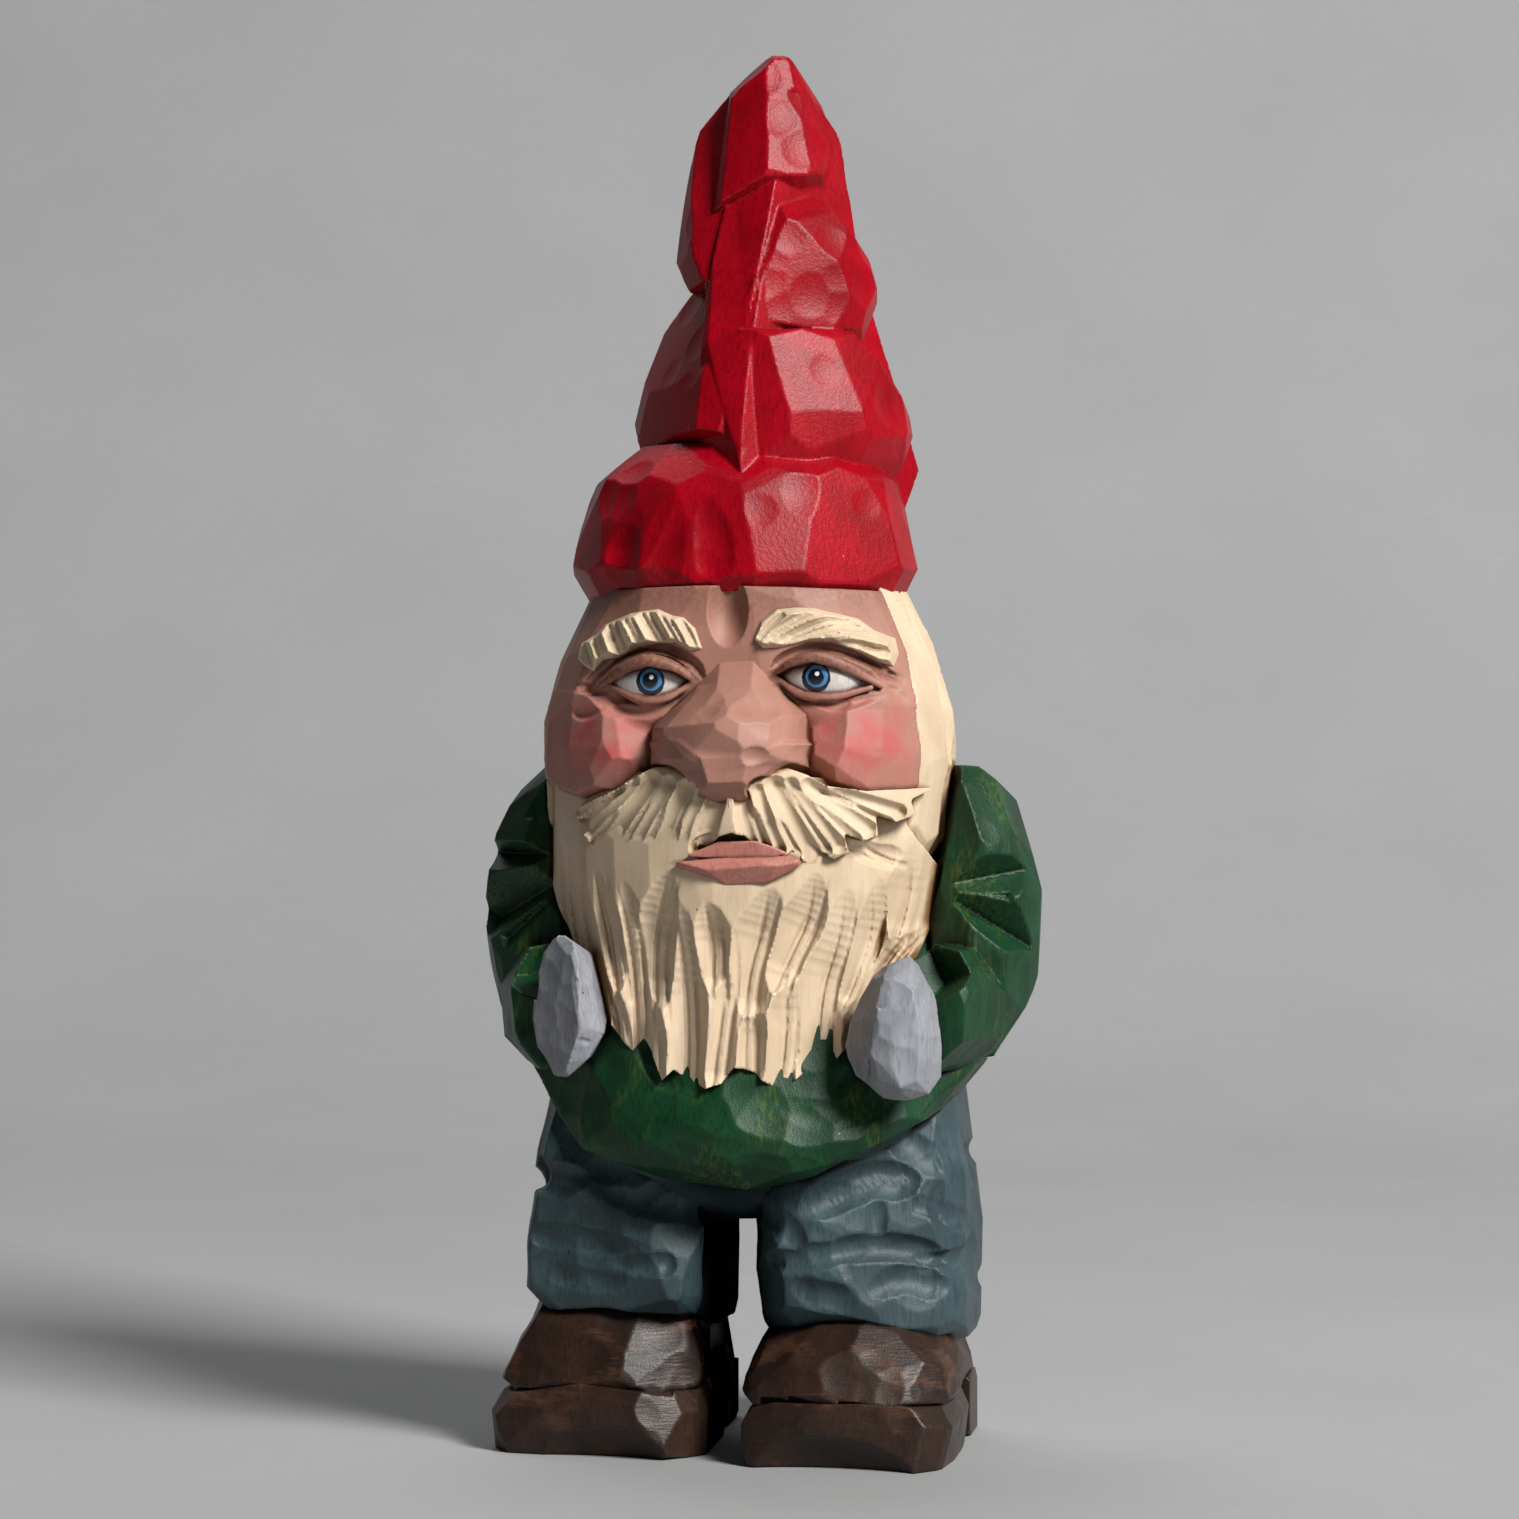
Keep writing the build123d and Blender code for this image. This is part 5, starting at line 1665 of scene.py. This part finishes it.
def seat():
    rings = [
        (24.6, -1.8, 1.6, 7.0, 9.6),
        (29.5, -0.8, 1.8, 18.6, 15.4),
        (35.0, -0.6, 1.6, 21.0, 16.8),
        (41.0, -0.4, 1.4, 21.0, 16.4),
    ]
    mass = lobe(FLOOR, rings, 6.5, 251, hollow=0.003)
    carve(["trouser_seat"], mass, trouser_paint(), "trouser_blue", COARSE, shade=between)


# --- Boots ---

SOLE_CORNERS = {
    "right": [
        (-27.0, -8.2, 0.0), (-25.1, -11.0, 0.0), (-8.0, -14.2, 0.0), (-4.2, -9.2, 0.0), (-4.4, 3.6, 0.0),
        (-26.4, 3.6, 0.0), (-27.4, -8.2, 4.0), (-25.9, -11.6, 3.4), (-17.0, -13.9, 5.6), (-8.3, -14.8, 4.6),
        (-4.0, -9.3, 4.6), (-4.2, 3.6, 4.8), (-26.8, 3.6, 4.6), (-24.6, -10.2, 6.0), (-17.0, -12.6, 7.6),
        (-8.6, -13.6, 6.8), (-4.8, -8.6, 6.8), (-5.4, 3.6, 7.2), (-25.4, 3.6, 7.0), (-26.2, -7.4, 6.2),
    ],
    "left": [
        (0.9, -16.0, 0.0), (13.2, -18.2, 0.0), (17.7, -18.5, 0.0), (21.2, -14.7, 0.0), (21.9, -8.3, 0.0),
        (21.9, 0.6, 0.0), (1.0, 0.6, 0.0), (0.4, -15.6, 4.0), (3.6, -16.8, 4.8), (13.0, -18.9, 4.8),
        (17.9, -18.6, 4.6), (22.2, -14.0, 4.2), (22.6, -7.0, 4.2), (22.4, 0.6, 4.4), (0.4, 0.6, 4.6),
        (1.2, -14.6, 5.8), (4.0, -15.6, 6.6), (12.9, -17.5, 6.8), (17.2, -17.2, 6.6), (21.0, -13.0, 6.2),
        (21.8, -6.6, 6.0), (21.4, 0.6, 6.6), (1.4, 0.6, 6.6),
    ],
}
TOE_CORNERS = {
    "right": [
        (-24.9, -10.0, 6.2), (-17.0, -12.6, 7.6), (-8.6, -13.0, 6.6), (-4.9, -8.6, 6.4), (-26.2, -7.0, 6.2),
        (-25.6, -10.4, 8.2), (-14.8, -13.4, 8.4), (-9.8, -14.1, 8.4), (-6.6, -12.6, 8.8), (-4.6, -9.2, 8.0),
        (-26.6, -6.6, 7.4), (-24.2, -10.2, 10.4), (-14.6, -12.9, 9.4), (-10.7, -13.4, 10.0),
        (-7.8, -12.9, 9.9), (-5.2, -8.6, 10.8), (-25.2, -5.4, 10.8), (-23.2, -9.4, 12.0),
        (-13.0, -11.6, 12.6), (-6.8, -10.4, 13.2), (-5.6, -5.0, 13.6), (-24.0, -3.6, 13.4),
        (-22.0, -7.0, 15.4), (-14.0, -8.8, 16.6), (-7.0, -8.0, 15.8), (-6.2, -3.0, 17.2), (-22.6, -1.0, 17.0),
        (-21.8, 5.0, 17.4), (-6.6, 5.0, 17.4), (-25.2, 5.0, 6.6), (-5.6, 5.0, 6.6),
    ],
    "left": [
        (1.2, -14.4, 5.8), (4.0, -15.4, 6.6), (12.9, -17.2, 6.8), (17.2, -16.6, 6.6), (21.0, -12.6, 6.2),
        (21.6, -6.6, 6.0), (0.2, -13.6, 7.6), (3.6, -16.0, 8.2), (12.7, -17.6, 8.0), (18.6, -16.4, 7.6),
        (22.0, -11.6, 7.2), (22.4, -6.0, 7.6), (0.4, -11.6, 10.0), (5.0, -14.4, 10.8), (12.6, -15.8, 11.2),
        (18.9, -14.4, 10.4), (21.8, -10.0, 10.0), (22.4, -4.0, 10.2), (3.0, -8.4, 13.0), (8.0, -11.4, 14.2),
        (12.6, -12.4, 14.4), (17.8, -11.0, 13.6), (21.4, -6.0, 12.6), (4.6, -4.0, 16.0), (17.4, -4.0, 16.4),
        (4.0, 2.0, 17.2), (18.0, 2.0, 17.2), (1.6, 2.0, 6.6), (21.4, 2.0, 6.6),
    ],
}
# Where each heel stands: x of its inner and outer face, y of its front and back.
HEEL_BOUNDS = {
    "right": (-5.0, -24.2, 9.2, 19.5),
    "left": (1.4, 21.9, 6.4, 16.5),
}


TOE_FLATS = {
    "left": [
        (14.6, 9.0, 27, 18), (9.6, 10.6, 6, 26), (18.8, 8.8, 44, 14), (5.6, 9.4, -14, 20),
        (12.0, 12.6, 18, 36),
    ],
    "right": [
        (-12.2, 9.2, 24, 24), (-8.4, 8.6, 32, 14), (-18.2, 9.6, -16, 22), (-14.4, 13.2, 0, 34),
        (-22.4, 9.0, -36, 16),
    ],
}
SOLE_FLATS = {
    "left": [(15.4, 4.6, 20, 4), (8.4, 5.6, 2, 14), (3.4, 5.0, -22, 6)],
    "right": [(-10.6, 5.0, 27, 18), (-17.0, 5.4, -6, 16), (-22.8, 4.6, -26, 6)],
}


def boot(side):
    flip = 1 if side == "left" else -1
    inner, outer, front, back = HEEL_BOUNDS[side]
    middle = (inner + outer) / 2
    toe = shaved(FLOOR, TOE_CORNERS[side], 26, 0.45, 263 if side == "left" else 268, hollow=0.003)
    toe = planed(toe, FLOOR, TOE_FLATS[side], 0.18)
    toe = whittled(toe, (middle, -12.0, 9.0), (6, 6, 3), 50, 265, 0.14)
    counter = shaved(
        FLOOR,
        [(inner + flip * 0.4, y, 6.6) for y in (front - 8, back - 3.0)]
        + [(outer - flip * 0.4, y, 6.6) for y in (front - 8, back - 3.0)]
        + [(inner + flip * 3.4, back - 0.7, 6.6), (outer - flip * 3.4, back - 0.7, 6.6)]
        + [(inner + flip * 1.8, y, 17.6) for y in (front - 8, back - 5.4)]
        + [(outer - flip * 2.0, y, 17.6) for y in (front - 8, back - 5.4)]
        + [(inner + flip * 5.0, back - 3.2, 17.6), (outer - flip * 5.0, back - 3.2, 17.6)],
        18, 0.6, 271 if side == "left" else 276, hollow=0.003,
    )
    dents = strokes(
        [
            ([(2.0, 9.4), (8.0, 10.2), (14.0, 9.2)], 0.5, 3.2, 0.3, 0.3),
            ([(-6.0, 12.6), (0.0, 13.2), (5.0, 12.0)], 0.4, 3.6, 0.3, 0.3),
        ]
    )
    upper_mass = union(toe, counter)

    def upper(p):
        return upper_mass(p) + np.where(np.abs(p[:, 0] - middle) > 6, dents(p[:, 1], p[:, 2]), 0)

    carve([f"{side}_boot_upper"], upper, boot_paint(), "boot_brown", MEDIUM, shade=between)
    ball_of_foot = shaved(FLOOR, SOLE_CORNERS[side], 10, 0.35, 281 if side == "left" else 284)
    ball_of_foot = planed(ball_of_foot, FLOOR, SOLE_FLATS[side], 0.16)
    ball_of_foot = whittled(ball_of_foot, (middle, -14.0, 4.0), (7, 5, 2), 24, 283, 0.08)
    spring_x, spring_y = (9.2, -20.6) if side == "left" else (-16.8, -16.9)
    spring = ball((spring_x, spring_y, -2.5), (12.4, 6.0, 7.2))
    ends = (front - 7.0, front + 0.4)
    waist = hull(FLOOR, [(inner + flip * i, y, z) for i in (1.0, 18.4) for y in ends for z in (2.4, 7.0)])
    sole = union(minus(ball_of_foot, spring), waist)
    carve([f"{side}_boot_sole"], sole, boot_paint(), "boot_brown", MEDIUM, shade=between)
    block = shaved(
        FLOOR,
        [(x, y, z) for x in (inner, outer) for y in (front, back - 2.6) for z in (0.0, 6.4)]
        + [(x, back, z) for x in (inner + flip * 3.0, outer - flip * 3.0) for z in (0.0, 6.4)],
        8, 0.35, 291 if side == "left" else 295, hollow=0.002,
    )
    carve([f"{side}_boot_heel"], block, boot_paint(), "boot_brown", MEDIUM, shade=between)


hat()
face()
nose()
eye("left")
eye("right")
brow("left")
brow("right")
lips()
moustache("left")
moustache("right")
beard()
hair()
sweater()
for SIDE in ("left", "right"):
    sleeve(SIDE)
    mitten(SIDE)
    leg(SIDE)
    boot(SIDE)
seat()
build_pieces()


# --- Floor and backdrop ---


TURN = math.radians(9)  # how far round from the figure's front the camera stands


def sweep():
    """A paper sweep, square to the camera: floor, wide bend, upright back. In metres."""
    profile = [(-1.6, 0.0)]
    for i in range(25):
        angle = math.radians(90 * i / 24)
        profile.append((0.30 + 0.40 * math.sin(angle), 0.40 - 0.40 * math.cos(angle)))
    profile.append((0.70, 2.2))
    vertices, faces = [], []
    for depth, height in profile:
        for across in (-2.2, 2.2):
            x = across * math.cos(TURN) - depth * math.sin(TURN)
            y = across * math.sin(TURN) + depth * math.cos(TURN)
            vertices.append((x, y, height - 0.0001))
    for i in range(len(profile) - 1):
        faces.append((2 * i, 2 * i + 1, 2 * i + 3, 2 * i + 2))
    mesh = bpy.data.meshes.new("sweep")
    mesh.from_pydata(vertices, [], faces)
    mesh.shade_smooth()
    return bpy.data.objects.new("sweep", mesh)


def sweep_paint():
    paint = Paint("sweep_paper", 0.8, specular=0.2)
    mottle = paint.noise(60.0, 3.0)
    weave = paint.noise(1.2, 2.0, (3, 3, 1))
    tone = paint.mix(paint.window(mottle, 0.3, 0.7), (0.365, 0.367, 0.37), (0.34, 0.343, 0.346))
    tone = paint.mix(paint.times(paint.window(weave, 0.4, 0.7), 0.2), tone, (0.33, 0.33, 0.325))
    paint.raise_by(weave, 0.02)
    return paint.finish(tone)


backdrop = sweep()
backdrop.data.materials.append(sweep_paint())
bpy.context.scene.collection.objects.link(backdrop)


# --- Camera and light ---


def aim(thing, position, target):
    """Stands a camera or a lamp at a position in mm and turns it towards a target in mm."""
    position, target = np.asarray(position, float), np.asarray(target, float)
    back = unit(position - target)
    side = unit(np.cross((0, 0, 1), back))
    up = np.cross(back, side)
    thing.matrix_world = Matrix(
        [[side[i], up[i], back[i], position[i] * MM] for i in range(3)] + [[0, 0, 0, 1]]
    )


AWAY = 446.0
EYE_LEVEL = 72.8
FOCAL_LENGTH = 98.97
camera_data = bpy.data.cameras.new("camera")
camera_data.lens = FOCAL_LENGTH
camera_data.sensor_width = 36.0
camera_data.clip_start = 0.01
camera = bpy.data.objects.new("camera", camera_data)
eye_point = np.array([AWAY * math.sin(TURN), -AWAY * math.cos(TURN), EYE_LEVEL])
aim(camera, eye_point, eye_point + [-math.sin(TURN), math.cos(TURN), 0.0])
bpy.context.scene.collection.objects.link(camera)
bpy.context.scene.camera = camera


def lamp(name, azimuth, elevation, distance, size, watts, colour=(1.0, 1.0, 1.0)):
    """A square soft box, azimuth degrees to the camera's right and elevation degrees up."""
    data = bpy.data.lights.new(name, "AREA")
    data.shape = "SQUARE"
    data.size = size * MM
    data.energy = watts
    data.color = colour
    made = bpy.data.objects.new(name, data)
    angle = math.radians(azimuth) + TURN
    rise = math.radians(elevation)
    target = np.array([0.0, 0.0, 70.0])
    way = np.array([math.sin(angle) * math.cos(rise), -math.cos(angle) * math.cos(rise), math.sin(rise)])
    aim(made, target + way * distance, target)
    bpy.context.scene.collection.objects.link(made)
    return made


lamp("key", 44, 36, 1500, 460, 36.0, (1.0, 0.99, 0.975))
lamp("top", -160, 62, 1200, 700, 4.5, (0.97, 0.985, 1.0))

world = bpy.data.worlds.new("studio")
world.use_nodes = True
sky = world.node_tree.nodes["Background"]
sky.inputs["Color"].default_value = (0.94, 0.97, 1.0, 1.0)
sky.inputs["Strength"].default_value = 0.03
bpy.context.scene.world = world
bpy.context.scene.view_settings.view_transform = "Standard"

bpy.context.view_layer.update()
